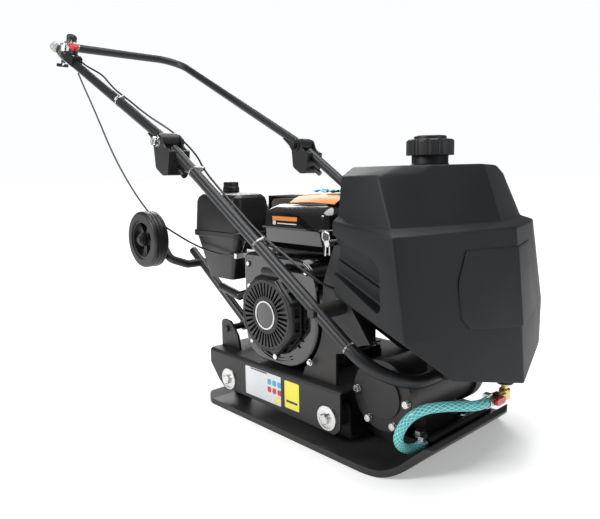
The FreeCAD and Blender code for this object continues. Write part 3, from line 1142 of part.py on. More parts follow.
def cord(points, least):
    radii = cord_radii(points, LINE_RADIUS * 2, least)
    wire = route(points, radii)
    shape = sweep(wire, LINE_RADIUS)
    expected = math.pi * LINE_RADIUS ** 2 * wire.Length
    print("cord length", round(wire.Length), "volume ratio", round(shape.Volume / expected, 3))
    return shape


# ---------------------------------------------------------------- transport wheels

def wheel_ears():
    """Two ears on the rear of the deck that the wheel frame hinges on."""
    outline = [(DECK_REAR, DECK_TOP), (-196, DECK_TOP), (-204, 158), (SWING_X + 14, SWING_Z + 20),
               (DECK_REAR, SWING_Z + 24)]
    ear = plate_xz(outline, EAR_Y - EAR_THICK / 2, EAR_Y + EAR_THICK / 2, [0, 0, 10, 12, 12])
    return both_sides(ear.cut(disc(SWING_ROD + RUN_FIT, SWING_X, SWING_Z, 0, 200)))


def wheel_frame():
    """Pivot rod, two legs, and a crossbar whose ends rise to the axles."""
    rear, high = LEG_END_X - SWING_X, LEG_END_Z - SWING_Z
    share = 0.84
    bar_x, bar_z = SWING_X + rear * share, SWING_Z + high * share
    half = WHEEL_Y - WHEEL_HALF - 12
    down = 4.0
    points = [(AXLE_X, -half - 0.1, AXLE_Z - 2), (bar_x - 14, -half + 6, bar_z + 14),
              (bar_x, -half + 50, bar_z - down), (bar_x, half - 50, bar_z - down),
              (bar_x - 14, half - 6, bar_z + 14), (AXLE_X, half + 0.1, AXLE_Z - 2)]
    solid_bar = sweep(route(points, [0, 20, 24, 24, 20, 0]), FRAME_TUBE)
    shapes = [disc(SWING_ROD, SWING_X, SWING_Z, -EAR_Y - 8, EAR_Y + 8), solid_bar]
    for side in (-1, 1):
        y = side * LEG_Y
        shapes.append(rod(FRAME_TUBE, (LEG_END_X, y, LEG_END_Z), (SWING_X, y, SWING_Z)))
        shapes.append(disc(SWING_ROD + 5, SWING_X, SWING_Z, y - 16, y + 16))
        inner, outer = sorted((side * (half - 10), side * (WHEEL_Y + WHEEL_HALF + 8)))
        shapes.append(disc(AXLE_RADIUS, AXLE_X, AXLE_Z, inner, outer))
        shoulder = sorted((side * (half - 10), side * (WHEEL_Y - WHEEL_HALF - 1)))
        shapes.append(disc(AXLE_RADIUS + 5, AXLE_X, AXLE_Z, *shoulder))
    frame = shapes[0].fuse(shapes[1:]).removeSplitter()
    mouths = [rod(FRAME_BORE, (LEG_END_X, side * LEG_Y, LEG_END_Z),
                  (SWING_X + rear * (share + 0.07), side * LEG_Y, SWING_Z + high * (share + 0.07)))
              for side in (-1, 1)]
    return frame.cut(mouths)


def wheel(side):
    """Spoked plastic rim with a grooved solid tyre and the retaining washer."""
    y0, y1 = side * WHEEL_Y - WHEEL_HALF, side * WHEEL_Y + WHEEL_HALF
    tyre = disc(WHEEL_RADIUS, AXLE_X, AXLE_Z, y0, y1)
    tyre = soften(tyre, 7, lambda e: abs(e.tangentAt(e.FirstParameter).y) < 0.01)
    grooves = []
    for k in (-1, 0, 1):
        y = side * WHEEL_Y + k * 10
        ring = disc(WHEEL_RADIUS + 1, AXLE_X, AXLE_Z, y - 1.2, y + 1.2)
        grooves.append(ring.cut(disc(WHEEL_RADIUS - 2.5, AXLE_X, AXLE_Z, y - 2, y + 2)))
    tyre = tyre.cut(grooves + [disc(RIM_RADIUS, AXLE_X, AXLE_Z, y0, y1)])
    rim = disc(RIM_RADIUS, AXLE_X, AXLE_Z, y0 + 3, y1 - 3)
    rim = rim.cut(disc(RIM_RADIUS - 7, AXLE_X, AXLE_Z, y0, y1))
    spokes = []
    for k in range(SPOKES):
        spoke = box(AXLE_X + HUB_RADIUS - 3, AXLE_X + RIM_RADIUS - 3, side * WHEEL_Y - 9,
                    side * WHEEL_Y + 9, AXLE_Z - 6, AXLE_Z + 6)
        spoke.rotate(V(AXLE_X, 0, AXLE_Z), Y, 360.0 * k / SPOKES + 18)
        spokes.append(spoke)
    rim = rim.fuse(spokes + [disc(HUB_RADIUS, AXLE_X, AXLE_Z, y0 + 1, y1 - 1)]).removeSplitter()
    rim = rim.cut(disc(AXLE_RADIUS + RUN_FIT, AXLE_X, AXLE_Z, y0, y1))
    return [rim, tyre]


def wheel_clips():
    """The washer and clip that keep each wheel on its axle."""
    face = WHEEL_Y + WHEEL_HALF
    washer = disc(14, AXLE_X, AXLE_Z, face, face + 2).cut(disc(AXLE_RADIUS, AXLE_X, AXLE_Z, 0, 300))
    clip = disc(11, AXLE_X, AXLE_Z, face + 2, face + 5).cut(disc(AXLE_RADIUS, AXLE_X, AXLE_Z, 0, 300))
    return both_sides(washer.fuse(clip).removeSplitter())


# ---------------------------------------------------------------- all nodes

def build():
    node("base_plate", base_plate())
    node("mount_brackets", *mount_brackets())
    node("rubber_mounts", *rubber_mounts())
    node("mount_bolts", *mount_bolts())
    node("exciter_housing", exciter_housing())
    node("exciter_near_cover", exciter_near_cover())
    node("exciter_far_cover", exciter_far_cover())
    node("exciter_bolts", *exciter_bolts())
    node("exciter_bearings", *exciter_bearings())
    node("exciter_shaft", *exciter_shaft())
    node("deck", *deck())
    node("side_supports", *side_supports())
    node("belt_guard", belt_guard())
    node("drive_belt", drive_belt())
    node("crankcase", crankcase())
    node("cylinder", cylinder())
    node("cylinder_head", *cylinder_head())
    node("blower_housing", blower_housing())
    node("recoil_cover", *recoil_cover())
    node("recoil_grip", recoil_grip())
    node("crankshaft", *crankshaft())
    node("fuel_tank", fuel_tank())
    node("fuel_cap", fuel_cap())
    node("air_cleaner_base", air_cleaner_base())
    node("air_cleaner_cover", *air_cleaner_cover())
    node("muffler", muffler())
    node("muffler_guard", muffler_guard())
    node("carburetor", carburetor())
    node("control_plate", control_plate())
    node("throttle_arm", throttle_arm())
    node("spark_plug", *spark_plug())
    node("engine_fasteners", *engine_fasteners())
    node("water_tank", water_tank())
    node("tank_rod", *tank_rod())
    node("water_cap", water_cap())
    node("tank_outlet", tank_outlet())
    node("valve_lever", valve_lever())
    node("water_hose", water_hose())
    node("hose_clamps", *hose_clamps())
    node("sprinkler_bar", sprinkler_bar())
    node("lower_handle", lower_handle())
    node("tank_pads", *tank_pads())
    node("handle_brackets", *handle_brackets())
    node("handle_bolts", *handle_bolts())
    node("handle_bushes", *handle_bushes())
    node("near_lock_pin", lock_pin(-1))
    node("far_lock_pin", lock_pin(1))
    node("upper_handle", upper_handle())
    node("handle_barrels", *handle_barrels())
    node("throttle_base", throttle_base())
    node("throttle_lever", throttle_lever())
    node("switch_box", switch_box())
    node("stop_button", stop_button())
    node("throttle_cable", cord(CABLE_ROUTE, 5))
    node("stop_wire_upper", cord(UPPER_WIRE_ROUTE, 5))
    node("stop_wire_lower", cord(LOWER_WIRE_ROUTE, 5))
    node("wheel_ears", *wheel_ears())
    node("wheel_frame", wheel_frame(), *wheel_clips())
    node("near_wheel", *wheel(-1))
    node("far_wheel", *wheel(1))


build()
os.makedirs("parts", exist_ok=True)
for name, solids in NODES.items():
    pieces = [piece for solid in solids for piece in solid.Solids]
    bad = [piece for piece in pieces if not piece.isValid()]
    if bad or not pieces:
        print("check", name, len(pieces), "pieces,", len(bad), "not valid")
    shape = pieces[0] if len(pieces) == 1 else Part.makeCompound(pieces)
    shape.exportStep("parts/" + name + ".step")
print(len(NODES), "nodes")
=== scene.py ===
import math
import random

import bmesh
import bpy
from mathutils import Matrix, Vector


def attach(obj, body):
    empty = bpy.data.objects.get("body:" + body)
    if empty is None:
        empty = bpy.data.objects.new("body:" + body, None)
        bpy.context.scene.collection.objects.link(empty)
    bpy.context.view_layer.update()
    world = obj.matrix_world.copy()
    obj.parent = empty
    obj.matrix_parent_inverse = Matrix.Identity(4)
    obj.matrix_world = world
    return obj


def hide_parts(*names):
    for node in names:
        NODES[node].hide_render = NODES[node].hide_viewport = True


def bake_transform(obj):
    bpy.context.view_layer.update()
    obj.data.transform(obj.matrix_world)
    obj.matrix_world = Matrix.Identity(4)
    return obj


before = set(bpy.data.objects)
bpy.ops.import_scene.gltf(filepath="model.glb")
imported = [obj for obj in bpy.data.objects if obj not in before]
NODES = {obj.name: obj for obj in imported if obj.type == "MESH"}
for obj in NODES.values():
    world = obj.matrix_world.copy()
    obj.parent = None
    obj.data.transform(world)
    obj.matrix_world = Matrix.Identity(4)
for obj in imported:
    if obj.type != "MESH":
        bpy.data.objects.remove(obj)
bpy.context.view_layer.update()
scene = bpy.context.scene
X, Y, Z = Vector((1, 0, 0)), Vector((0, 1, 0)), Vector((0, 0, 1))
MM = 0.001

# ------------------------------------------------------------ camera and light

CAMERA_AT = Vector((0.9155, -0.9808, 0.5439))
CAMERA_LOOKS = Vector((-0.7225, 0.6761, -0.1444)).normalized()
CAMERA_ROLL = math.radians(-0.8)
CAMERA_LENS = 35.63
SENSOR = 36.0


def set_camera():
    level = CAMERA_LOOKS.cross(Z).normalized()
    upright = level.cross(CAMERA_LOOKS)
    right = level * math.cos(CAMERA_ROLL) + upright * math.sin(CAMERA_ROLL)
    up = upright * math.cos(CAMERA_ROLL) - level * math.sin(CAMERA_ROLL)
    turn = Matrix((right, up, -CAMERA_LOOKS)).transposed().to_4x4()
    data = bpy.data.cameras.new("camera")
    data.lens, data.sensor_width, data.clip_start = CAMERA_LENS, SENSOR, 0.01
    camera = bpy.data.objects.new("camera", data)
    camera.matrix_world = Matrix.Translation(CAMERA_AT) @ turn
    scene.collection.objects.link(camera)
    scene.camera = camera


def soft_light(name, at, target, size, watts, tint=(1, 1, 1)):
    data = bpy.data.lights.new(name, "AREA")
    data.shape, data.size, data.size_y, data.energy, data.color = "RECTANGLE", *size, watts, tint
    lamp = bpy.data.objects.new(name, data)
    lamp.matrix_world = (Matrix.Translation(at)
                         @ (Vector(at) - Vector(target)).to_track_quat("Z", "Y").to_matrix().to_4x4())
    scene.collection.objects.link(lamp)


set_camera()
soft_light("overhead", (0.1, 0.2, 3.0), (0.0, 0.0, 0.3), (2.6, 2.0), 78)
soft_light("near_side", (-0.9, -2.9, 2.1), (0.0, 0.0, 0.35), (1.3, 1.0), 74)
soft_light("front", (3.1, 0.4, 1.3), (0.2, 0.0, 0.3), (1.2, 1.2), 14, (0.93, 0.97, 1.0))
soft_light("rear", (-2.6, 1.8, 2.0), (-0.2, 0.0, 0.4), (1.6, 1.4), 40)
WORLD_GIVES, WORLD_SHOWS = 0.17, 1.0
sky = bpy.data.worlds.new("studio")
sky.use_nodes = True
backdrop = sky.node_tree.nodes["Background"]
backdrop.inputs["Color"].default_value = (0.98, 0.99, 1.0, 1)
seen = sky.node_tree.nodes.new("ShaderNodeLightPath").outputs["Is Camera Ray"]
strength = sky.node_tree.nodes.new("ShaderNodeMapRange")
strength.inputs["To Min"].default_value = WORLD_GIVES
strength.inputs["To Max"].default_value = WORLD_SHOWS
sky.node_tree.links.new(seen, strength.inputs["Value"])
sky.node_tree.links.new(strength.outputs["Result"], backdrop.inputs["Strength"])
scene.world = sky
scene.view_settings.view_transform = "Standard"

# ------------------------------------------------------------ shared effects


def lay(tree, kind, inputs=None, **settings):
    """Adds a shader node with its settings, and gives its sockets numbers or links."""
    made = tree.nodes.new(kind)
    for key, value in settings.items():
        setattr(made, key, value)
    for key, value in (inputs or {}).items():
        if isinstance(value, bpy.types.NodeSocket):
            tree.links.new(value, made.inputs[key])
        else:
            made.inputs[key].default_value = value
    return made


def effect(name, takes, gives):
    """An empty node group with named sockets: (tree, where its inputs come in, where they go out)."""
    tree = bpy.data.node_groups.new(name, "ShaderNodeTree")
    for label, kind in takes:
        tree.interface.new_socket(name=label, in_out="INPUT", socket_type="NodeSocket" + kind)
    for label, kind in gives:
        tree.interface.new_socket(name=label, in_out="OUTPUT", socket_type="NodeSocket" + kind)
    return tree, tree.nodes.new("NodeGroupInput").outputs, tree.nodes.new("NodeGroupOutput").inputs


def sum_of(tree, kind, *values):
    made = lay(tree, "ShaderNodeMath", operation=kind)
    for index, value in enumerate(values):
        if isinstance(value, bpy.types.NodeSocket):
            tree.links.new(value, made.inputs[index])
        else:
            made.inputs[index].default_value = value
    return made.outputs[0]


def ramped(tree, value, low, high, to_low=0.0, to_high=1.0):
    made = lay(tree, "ShaderNodeMapRange", {"Value": value, "From Min": low, "From Max": high,
                                            "To Min": to_low, "To Max": to_high}, clamp=True)
    return made.outputs["Result"]


def make_rounded_edges():
    """Rounds sharp edges in the shading, and marks them for a lighter colour: partly wear from rubbing,
    partly a painted edge highlight.
    """
    tree, takes, gives = effect("rounded_edges", [("Radius", "Float"), ("Patchiness", "Float")],
                                [("Normal", "Vector"), ("Rubbed_And_Highlit", "Float")])
    bevel = lay(tree, "ShaderNodeBevel", {"Radius": takes["Radius"]}, samples=4)
    true_normal = lay(tree, "ShaderNodeNewGeometry").outputs["Normal"]
    facing = lay(tree, "ShaderNodeVectorMath", {0: bevel.outputs[0], 1: true_normal},
                 operation="DOT_PRODUCT").outputs["Value"]
    turned = ramped(tree, facing, 0.97, 0.78)
    place = lay(tree, "ShaderNodeTexCoord").outputs["Object"]
    patches = lay(tree, "ShaderNodeTexNoise", {"Vector": place, "Scale": 55.0, "Detail": 4.0})
    patchy = ramped(tree, patches.outputs["Fac"], 0.38, 0.66)
    kept = lay(tree, "ShaderNodeMix", {0: takes["Patchiness"], 2: 1.0, 3: patchy})
    tree.links.new(bevel.outputs[0], gives["Normal"])
    # this edge mask lightens the edges: partly wear from rubbing, partly a painted edge highlight
    tree.links.new(sum_of(tree, "MULTIPLY", turned, kept.outputs[0]), gives["Rubbed_And_Highlit"])
    return tree


def make_fine_grain():
    """The fine texture of moulded plastic, powder coat or cast metal."""
    tree, takes, gives = effect("fine_grain", [("Scale", "Float"), ("Pits", "Float")],
                                [("Height", "Float"), ("Tone", "Float")])
    place = lay(tree, "ShaderNodeTexCoord").outputs["Object"]
    noise = lay(tree, "ShaderNodeTexNoise", {"Vector": place, "Scale": takes["Scale"], "Detail": 3.0,
                                             "Roughness": 0.6})
    cells = lay(tree, "ShaderNodeTexVoronoi", {"Vector": place, "Scale": takes["Scale"]})
    pits = sum_of(tree, "MULTIPLY", ramped(tree, cells.outputs["Distance"], 0.0, 0.5, 0.0, 1.0),
                  takes["Pits"])
    broad = lay(tree, "ShaderNodeTexNoise", {"Vector": place, "Scale": 9.0, "Detail": 5.0})
    tree.links.new(sum_of(tree, "ADD", noise.outputs["Fac"], pits), gives["Height"])
    mixed = lay(tree, "ShaderNodeMix", {0: 0.6, 2: noise.outputs["Fac"], 3: broad.outputs["Fac"]})
    tree.links.new(ramped(tree, mixed.outputs[0], 0.3, 0.7), gives["Tone"])
    return tree


def make_settled_dust():
    """Thin dust on faces that look up, thicker in patches."""
    tree, takes, gives = effect("settled_dust", [("Amount", "Float"), ("Scale", "Float")],
                                [("Dust", "Float")])
    normal = lay(tree, "ShaderNodeNewGeometry").outputs["Normal"]
    up = lay(tree, "ShaderNodeSeparateXYZ", {0: normal}).outputs["Z"]
    place = lay(tree, "ShaderNodeTexCoord").outputs["Object"]
    noise = lay(tree, "ShaderNodeTexNoise", {"Vector": place, "Scale": takes["Scale"], "Detail": 6.0})
    share = sum_of(tree, "MULTIPLY", ramped(tree, up, 0.1, 1.0, 0.15, 1.0),
                   ramped(tree, noise.outputs["Fac"], 0.35, 0.75))
    tree.links.new(sum_of(tree, "MULTIPLY", share, takes["Amount"]), gives["Dust"])
    return tree


def make_brush_lines():
    """Fine lines of drawn or turned metal, along one axis of the object."""
    tree, takes, gives = effect("brush_lines", [("Scale", "Float"), ("Stretch", "Vector")],
                                [("Lines", "Float")])
    place = lay(tree, "ShaderNodeTexCoord").outputs["Object"]
    stretched = lay(tree, "ShaderNodeVectorMath", {0: place, 1: takes["Stretch"]},
                    operation="MULTIPLY").outputs["Vector"]
    noise = lay(tree, "ShaderNodeTexNoise", {"Vector": stretched, "Scale": takes["Scale"],
                                             "Detail": 4.0})
    tree.links.new(noise.outputs["Fac"], gives["Lines"])
    return tree


def make_braid():
    """Two sets of threads that wind round a hose in opposite directions, on its UV map."""
    tree, takes, gives = effect("hose_braid", [("Turns", "Float"), ("Threads", "Float"),
                                               ("Width", "Float")], [("Thread", "Float")])
    split = lay(tree, "ShaderNodeSeparateXYZ", {0: lay(tree, "ShaderNodeTexCoord").outputs["UV"]})
    run = sum_of(tree, "MULTIPLY", split.outputs["X"], takes["Turns"])
    round_it = sum_of(tree, "MULTIPLY", split.outputs["Y"], takes["Threads"])
    sets = []
    for kind in ("ADD", "SUBTRACT"):
        saw = sum_of(tree, "PINGPONG", sum_of(tree, kind, run, round_it), 0.5)
        sets.append(sum_of(tree, "LESS_THAN", saw, takes["Width"]))
    tree.links.new(sum_of(tree, "MAXIMUM", *sets), gives["Thread"])
    return tree


ROUNDED_EDGES = make_rounded_edges()
FINE_GRAIN = make_fine_grain()
SETTLED_DUST = make_settled_dust()
BRUSH_LINES = make_brush_lines()
HOSE_BRAID = make_braid()

# ------------------------------------------------------------ finishes

DUST_COLOUR = (0.32, 0.29, 0.25, 1)


def blended(tree, share, first, second):
    made = lay(tree, "ShaderNodeMix", data_type="RGBA")
    for socket, value in zip((made.inputs[0], made.inputs[6], made.inputs[7]), (share, first, second)):
        if isinstance(value, bpy.types.NodeSocket):
            tree.links.new(value, socket)
        else:
            socket.default_value = value
    return made.outputs[2]


def grouped(tree, group, inputs):
    return lay(tree, "ShaderNodeGroup", inputs, node_tree=group)


F = {}


def finish_of(name, deep, pale, rough, metallic=0.0, grain=900.0, depth=0.02, pits=0.0, edge=0.9,
              rubbed_and_highlit=None, patchiness=1.0, dust=0.0, lines=None, plain=None):
    """A finish: two tones through a fine grain, lighter edges (partly wear from rubbing, partly a
    painted highlight) and a little dust.

    deep and pale are its two colours, rough its lowest and highest roughness, depth the
    height of the grain in millimetres, and edge the radius of its edges in millimetres."""
    material = bpy.data.materials.new(name)
    material.use_nodes = True
    tree = material.node_tree
    shader = tree.nodes["Principled BSDF"]
    edges = grouped(tree, ROUNDED_EDGES, {"Radius": edge * MM, "Patchiness": patchiness})
    texture = grouped(tree, FINE_GRAIN, {"Scale": grain, "Pits": pits})
    tone = texture.outputs["Tone"]
    if lines:
        drawn = grouped(tree, BRUSH_LINES, {"Scale": lines[0], "Stretch": lines[1]})
        tone = sum_of(tree, "MULTIPLY", tone, drawn.outputs["Lines"])
    colour = blended(tree, tone, (*deep, 1), (*pale, 1))
    # lighter edge colour: partly wear from rubbing, partly a painted edge highlight
    if rubbed_and_highlit:
        colour = blended(tree, edges.outputs["Rubbed_And_Highlit"], colour, (*rubbed_and_highlit, 1))
    if dust:
        settled = grouped(tree, SETTLED_DUST, {"Amount": dust, "Scale": 14.0})
        colour = blended(tree, settled.outputs["Dust"], colour, DUST_COLOUR)
    tree.links.new(colour, shader.inputs["Base Color"])
    tree.links.new(ramped(tree, tone, 0.0, 1.0, *rough), shader.inputs["Roughness"])
    bump = lay(tree, "ShaderNodeBump", {"Height": texture.outputs["Height"], "Strength": 0.5,
                                        "Distance": depth * MM, "Normal": edges.outputs["Normal"]})
    tree.links.new(bump.outputs["Normal"], shader.inputs["Normal"])
    shader.inputs["Metallic"].default_value = metallic
    for key, value in (plain or {}).items():
        shader.inputs[key].default_value = value
    F[name] = material


# the edge colours given below are lighter than the paint: partly wear from rubbing, partly a painted
# edge highlight
finish_of("tube_paint", (0.0055, 0.0065, 0.0085), (0.009, 0.0105, 0.0135), (0.34, 0.46), grain=700,
          depth=0.015, edge=0.8, rubbed_and_highlit=(0.03, 0.033, 0.039), plain={"Specular IOR Level": 0.42})
finish_of("frame_paint", (0.006, 0.006, 0.007), (0.0105, 0.0105, 0.012), (0.34, 0.5), grain=520,
          depth=0.03, edge=1.1, rubbed_and_highlit=(0.03, 0.03, 0.033), dust=0.05)
finish_of("plate_paint", (0.007, 0.0075, 0.0085), (0.0162, 0.0168, 0.0186), (0.36, 0.54), grain=420,
          depth=0.04, edge=1.6, rubbed_and_highlit=(0.048, 0.048, 0.051), dust=0.08)
finish_of("support_paint", (0.0085, 0.007, 0.0065), (0.018, 0.0156, 0.0138), (0.4, 0.56), grain=420,
          depth=0.04, edge=1.0, rubbed_and_highlit=(0.036, 0.0312, 0.027), dust=0.05)
finish_of("cast_paint", (0.005, 0.005, 0.0055), (0.0105, 0.0105, 0.0115), (0.38, 0.6), grain=260,
          depth=0.12, pits=0.5, edge=1.4, rubbed_and_highlit=(0.027, 0.027, 0.03))
finish_of("engine_gloss", (0.002, 0.002, 0.0025), (0.0035, 0.0035, 0.004), (0.1, 0.2), grain=160,
          depth=0.01, edge=1.2, rubbed_and_highlit=(0.01, 0.01, 0.011), plain={"Coat Weight": 0.8,
          "Coat Roughness": 0.06})
finish_of("engine_plastic", (0.0035, 0.0035, 0.004), (0.007, 0.007, 0.008), (0.3, 0.44), grain=1100,
          depth=0.03, edge=1.0, rubbed_and_highlit=(0.021, 0.021, 0.0228))
finish_of("engine_alloy", (0.2, 0.2, 0.205), (0.33, 0.33, 0.34), (0.4, 0.6), metallic=0.85,
          grain=300, depth=0.08, pits=0.4, edge=0.8, rubbed_and_highlit=(0.5, 0.5, 0.5))
finish_of("crankcase_paint", (0.004, 0.004, 0.0045), (0.008, 0.008, 0.009), (0.36, 0.55), grain=240,
          depth=0.12, pits=0.5, edge=1.5, rubbed_and_highlit=(0.024, 0.024, 0.0252))
finish_of("tank_plastic", (0.0055, 0.0063, 0.0077), (0.009, 0.0103, 0.0123), (0.46, 0.6), grain=620,
          depth=0.07, pits=0.35, edge=3.0, rubbed_and_highlit=(0.024, 0.0264, 0.0312), patchiness=0.6,
          dust=0.02, plain={"Specular IOR Level": 0.3})
finish_of("cap_plastic", (0.0045, 0.005, 0.006), (0.0085, 0.009, 0.0105), (0.38, 0.5), grain=800,
          depth=0.04, edge=1.4, rubbed_and_highlit=(0.024, 0.0252, 0.0288))
finish_of("zinc", (0.5, 0.51, 0.52), (0.74, 0.74, 0.71), (0.16, 0.34), metallic=1.0, grain=60,
          depth=0.015, edge=0.5, rubbed_and_highlit=(0.86, 0.86, 0.86))
finish_of("badge_silver", (0.5, 0.5, 0.51), (0.6, 0.6, 0.61), (0.24, 0.32), metallic=1.0, grain=90,
          depth=0.004, edge=0.3)
finish_of("steel", (0.3, 0.3, 0.3), (0.56, 0.56, 0.55), (0.24, 0.42), metallic=1.0, grain=300,
          depth=0.02, edge=0.6, lines=(320.0, (1.0, 0.05, 1.0)))
finish_of("muffler_steel", (0.07, 0.065, 0.06), (0.18, 0.16, 0.14), (0.45, 0.7), metallic=0.9,
          grain=180, depth=0.05, edge=1.2)
finish_of("mount_rubber", (0.004, 0.004, 0.004), (0.0085, 0.0085, 0.0085), (0.6, 0.8), grain=800,
          depth=0.05, edge=1.0, dust=0.08)
finish_of("tyre_rubber", (0.0055, 0.0055, 0.006), (0.012, 0.012, 0.0125), (0.55, 0.75), grain=900,
          depth=0.06, edge=0.8, rubbed_and_highlit=(0.03, 0.03, 0.03), dust=0.12)
finish_of("rim_plastic", (0.005, 0.005, 0.0055), (0.01, 0.01, 0.011), (0.34, 0.48), grain=900,
          depth=0.03, edge=1.2, rubbed_and_highlit=(0.027, 0.027, 0.0288))
finish_of("brass", (0.5, 0.36, 0.14), (0.76, 0.58, 0.28), (0.2, 0.36), metallic=1.0, grain=260,
          depth=0.02, edge=0.6, rubbed_and_highlit=(0.85, 0.7, 0.4))
finish_of("signal_red", (0.42, 0.006, 0.01), (0.62, 0.012, 0.016), (0.22, 0.34), grain=500,
          depth=0.01, edge=1.0, rubbed_and_highlit=(0.72, 0.06, 0.05), plain={"Coat Weight": 0.3,
          "Coat Roughness": 0.15})
finish_of("cable_sleeve", (0.0035, 0.0035, 0.004), (0.007, 0.007, 0.0075), (0.3, 0.42), grain=1400,
          depth=0.01, edge=0.3)
finish_of("tie_nylon", (0.62, 0.63, 0.62), (0.78, 0.79, 0.78), (0.3, 0.45), grain=900, depth=0.01,
          edge=0.3, plain={"Subsurface Weight": 0.15, "Subsurface Scale": 0.002})
finish_of("label_white", (0.56, 0.58, 0.6), (0.7, 0.71, 0.73), (0.24, 0.36), grain=300, depth=0.004,
          edge=0.2)
finish_of("label_yellow", (0.72, 0.66, 0.05), (0.86, 0.8, 0.09), (0.24, 0.36), grain=300,
          depth=0.004, edge=0.2)
finish_of("label_orange", (0.6, 0.17, 0.012), (0.72, 0.235, 0.02), (0.28, 0.42), grain=300,
          depth=0.004, edge=0.2)
finish_of("label_black", (0.006, 0.006, 0.006), (0.012, 0.012, 0.012), (0.24, 0.36), grain=300,
          depth=0.004, edge=0.2)
finish_of("wrap_film", (0.02, 0.24, 0.42), (0.05, 0.42, 0.62), (0.16, 0.3), grain=200, depth=0.06,
          edge=0.2, plain={"Coat Weight": 0.4, "Coat Roughness": 0.1})
finish_of("grip_rubber", (0.004, 0.004, 0.004), (0.0075, 0.0075, 0.0075), (0.42, 0.56), grain=1000,
          depth=0.04, edge=0.8, rubbed_and_highlit=(0.018, 0.018, 0.018))


def make_hose_finish():
    material = bpy.data.materials.new("hose_braid")
    material.use_nodes = True
    tree = material.node_tree
    shader = tree.nodes["Principled BSDF"]
    braid = grouped(tree, HOSE_BRAID, {"Turns": 26.0, "Threads": 8.0, "Width": 0.07}).outputs["Thread"]
    texture = grouped(tree, FINE_GRAIN, {"Scale": 400.0, "Pits": 0.0})
    clear = blended(tree, texture.outputs["Tone"], (0.03, 0.42, 0.44, 1), (0.08, 0.6, 0.6, 1))
    tree.links.new(blended(tree, braid, clear, (0.62, 0.86, 0.84, 1)), shader.inputs["Base Color"])
    tree.links.new(ramped(tree, braid, 0.0, 1.0, 0.16, 0.42), shader.inputs["Roughness"])
    bump = lay(tree, "ShaderNodeBump", {"Height": braid, "Strength": 0.4, "Distance": 0.0002})
    tree.links.new(bump.outputs["Normal"], shader.inputs["Normal"])
    shader.inputs["Transmission Weight"].default_value = 0.25
    shader.inputs["IOR"].default_value = 1.42
    return material


F["hose_braid"] = make_hose_finish()

# ------------------------------------------------------------ shaping tools


def aimed(at, axis=Z, turn=0.0):
    """A place whose own Z points along axis."""
    aim = Vector(axis).to_track_quat("Z", "Y").to_matrix().to_4x4()
    return Matrix.Translation(Vector(at)) @ aim @ Matrix.Rotation(turn, 4, "Z")


def block(bm, size, place):
    size = Matrix.Diagonal((*size, 1.0))
    return bmesh.ops.create_cube(bm, size=1.0, matrix=place @ size)["verts"]


def lathe(bm, profile, place, sides=40):
    """Spins (radius, height) points round the place's Z axis; a closed profile gives a ring."""
    points = [bm.verts.new((radius, 0, height)) for radius, height in profile]
    edges = [bm.edges.new(pair) for pair in zip(points, points[1:])]
    spun = bmesh.ops.spin(bm, geom=points + edges, cent=(0, 0, 0), axis=(0, 0, 1), steps=sides,
                          angle=math.tau, use_merge=True)
    verts = {v for v in spun["geom_last"] if isinstance(v, bmesh.types.BMVert)} | set(points)
    reach = set(verts)
    border = list(verts)
    while border:
        for edge in border.pop().link_edges:
            for vert in edge.verts:
                if vert not in reach:
                    reach.add(vert)
                    border.append(vert)
    made = list(reach)
    bmesh.ops.remove_doubles(bm, verts=made, dist=1e-6)
    made = [v for v in made if v.is_valid]
    bmesh.ops.transform(bm, matrix=place, verts=made)
    return made


def softened(bm, verts, offset, segments=2, only_along_y=False):
    """Bevels the edges that meet at these corners, or only those that run along Y."""
    edges = list({e for v in verts for e in v.link_edges if not only_along_y
                  or abs((e.verts[0].co - e.verts[1].co).normalized().y) > 0.9})
    bmesh.ops.bevel(bm, geom=edges, offset=offset, segments=segments, profile=0.5, affect="EDGES",
                    clamp_overlap=True, material=-1)


def eased(bm, offset, segments=2, angle=30.0):
    """Bevels every edge that turns by more than this angle."""
    sharp = [e for e in bm.edges if len(e.link_faces) == 2
             and e.calc_face_angle(0.0) > math.radians(angle)]
    bmesh.ops.bevel(bm, geom=sharp, offset=offset, offset_type="OFFSET", segments=segments,
                    profile=0.5, affect="EDGES", clamp_overlap=True, material=-1)


def finished(bm, name, finish, body, replaced=(), smooth=32.0):
    """Makes the shape a piece that rides on a body."""
    bmesh.ops.recalc_face_normals(bm, faces=bm.faces[:])
    mesh = bpy.data.meshes.new(name)
    bm.to_mesh(mesh)
    bm.free()
    return placed(mesh, name, finish, body, replaced, smooth)


def placed(mesh, name, finish, body, replaced=(), smooth=32.0):
    for face in mesh.polygons:
        face.use_smooth = True
    mesh.set_sharp_from_angle(angle=math.radians(smooth))
    mesh.materials.clear()
    mesh.materials.append(F[finish])
    piece = bpy.data.objects.new(name, mesh)
    scene.collection.objects.link(piece)
    if body:
        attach(piece, body)
    if replaced:
        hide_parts(*replaced)
    return piece


def loose(bm, name):
    """A shape as an object, used only to cut another."""
    bmesh.ops.recalc_face_normals(bm, faces=bm.faces[:])
    mesh = bpy.data.meshes.new(name)
    bm.to_mesh(mesh)
    bm.free()
    shape = bpy.data.objects.new(name, mesh)
    scene.collection.objects.link(shape)
    return shape


def combined(shape, other, operation):
    """The mesh of one shape cut, cropped or joined by another; both objects are used up."""
    change = shape.modifiers.new("change", "BOOLEAN")
    change.object, change.operation, change.solver = other, operation, "EXACT"
    bpy.context.view_layer.update()
    mesh = bpy.data.meshes.new_from_object(shape.evaluated_get(bpy.context.evaluated_depsgraph_get()))
    bpy.data.objects.remove(other)
    bpy.data.objects.remove(shape)
    result = bpy.data.objects.new(mesh.name, mesh)
    scene.collection.objects.link(result)
    return result


# ------------------------------------------------------------ the two slopes of the handle

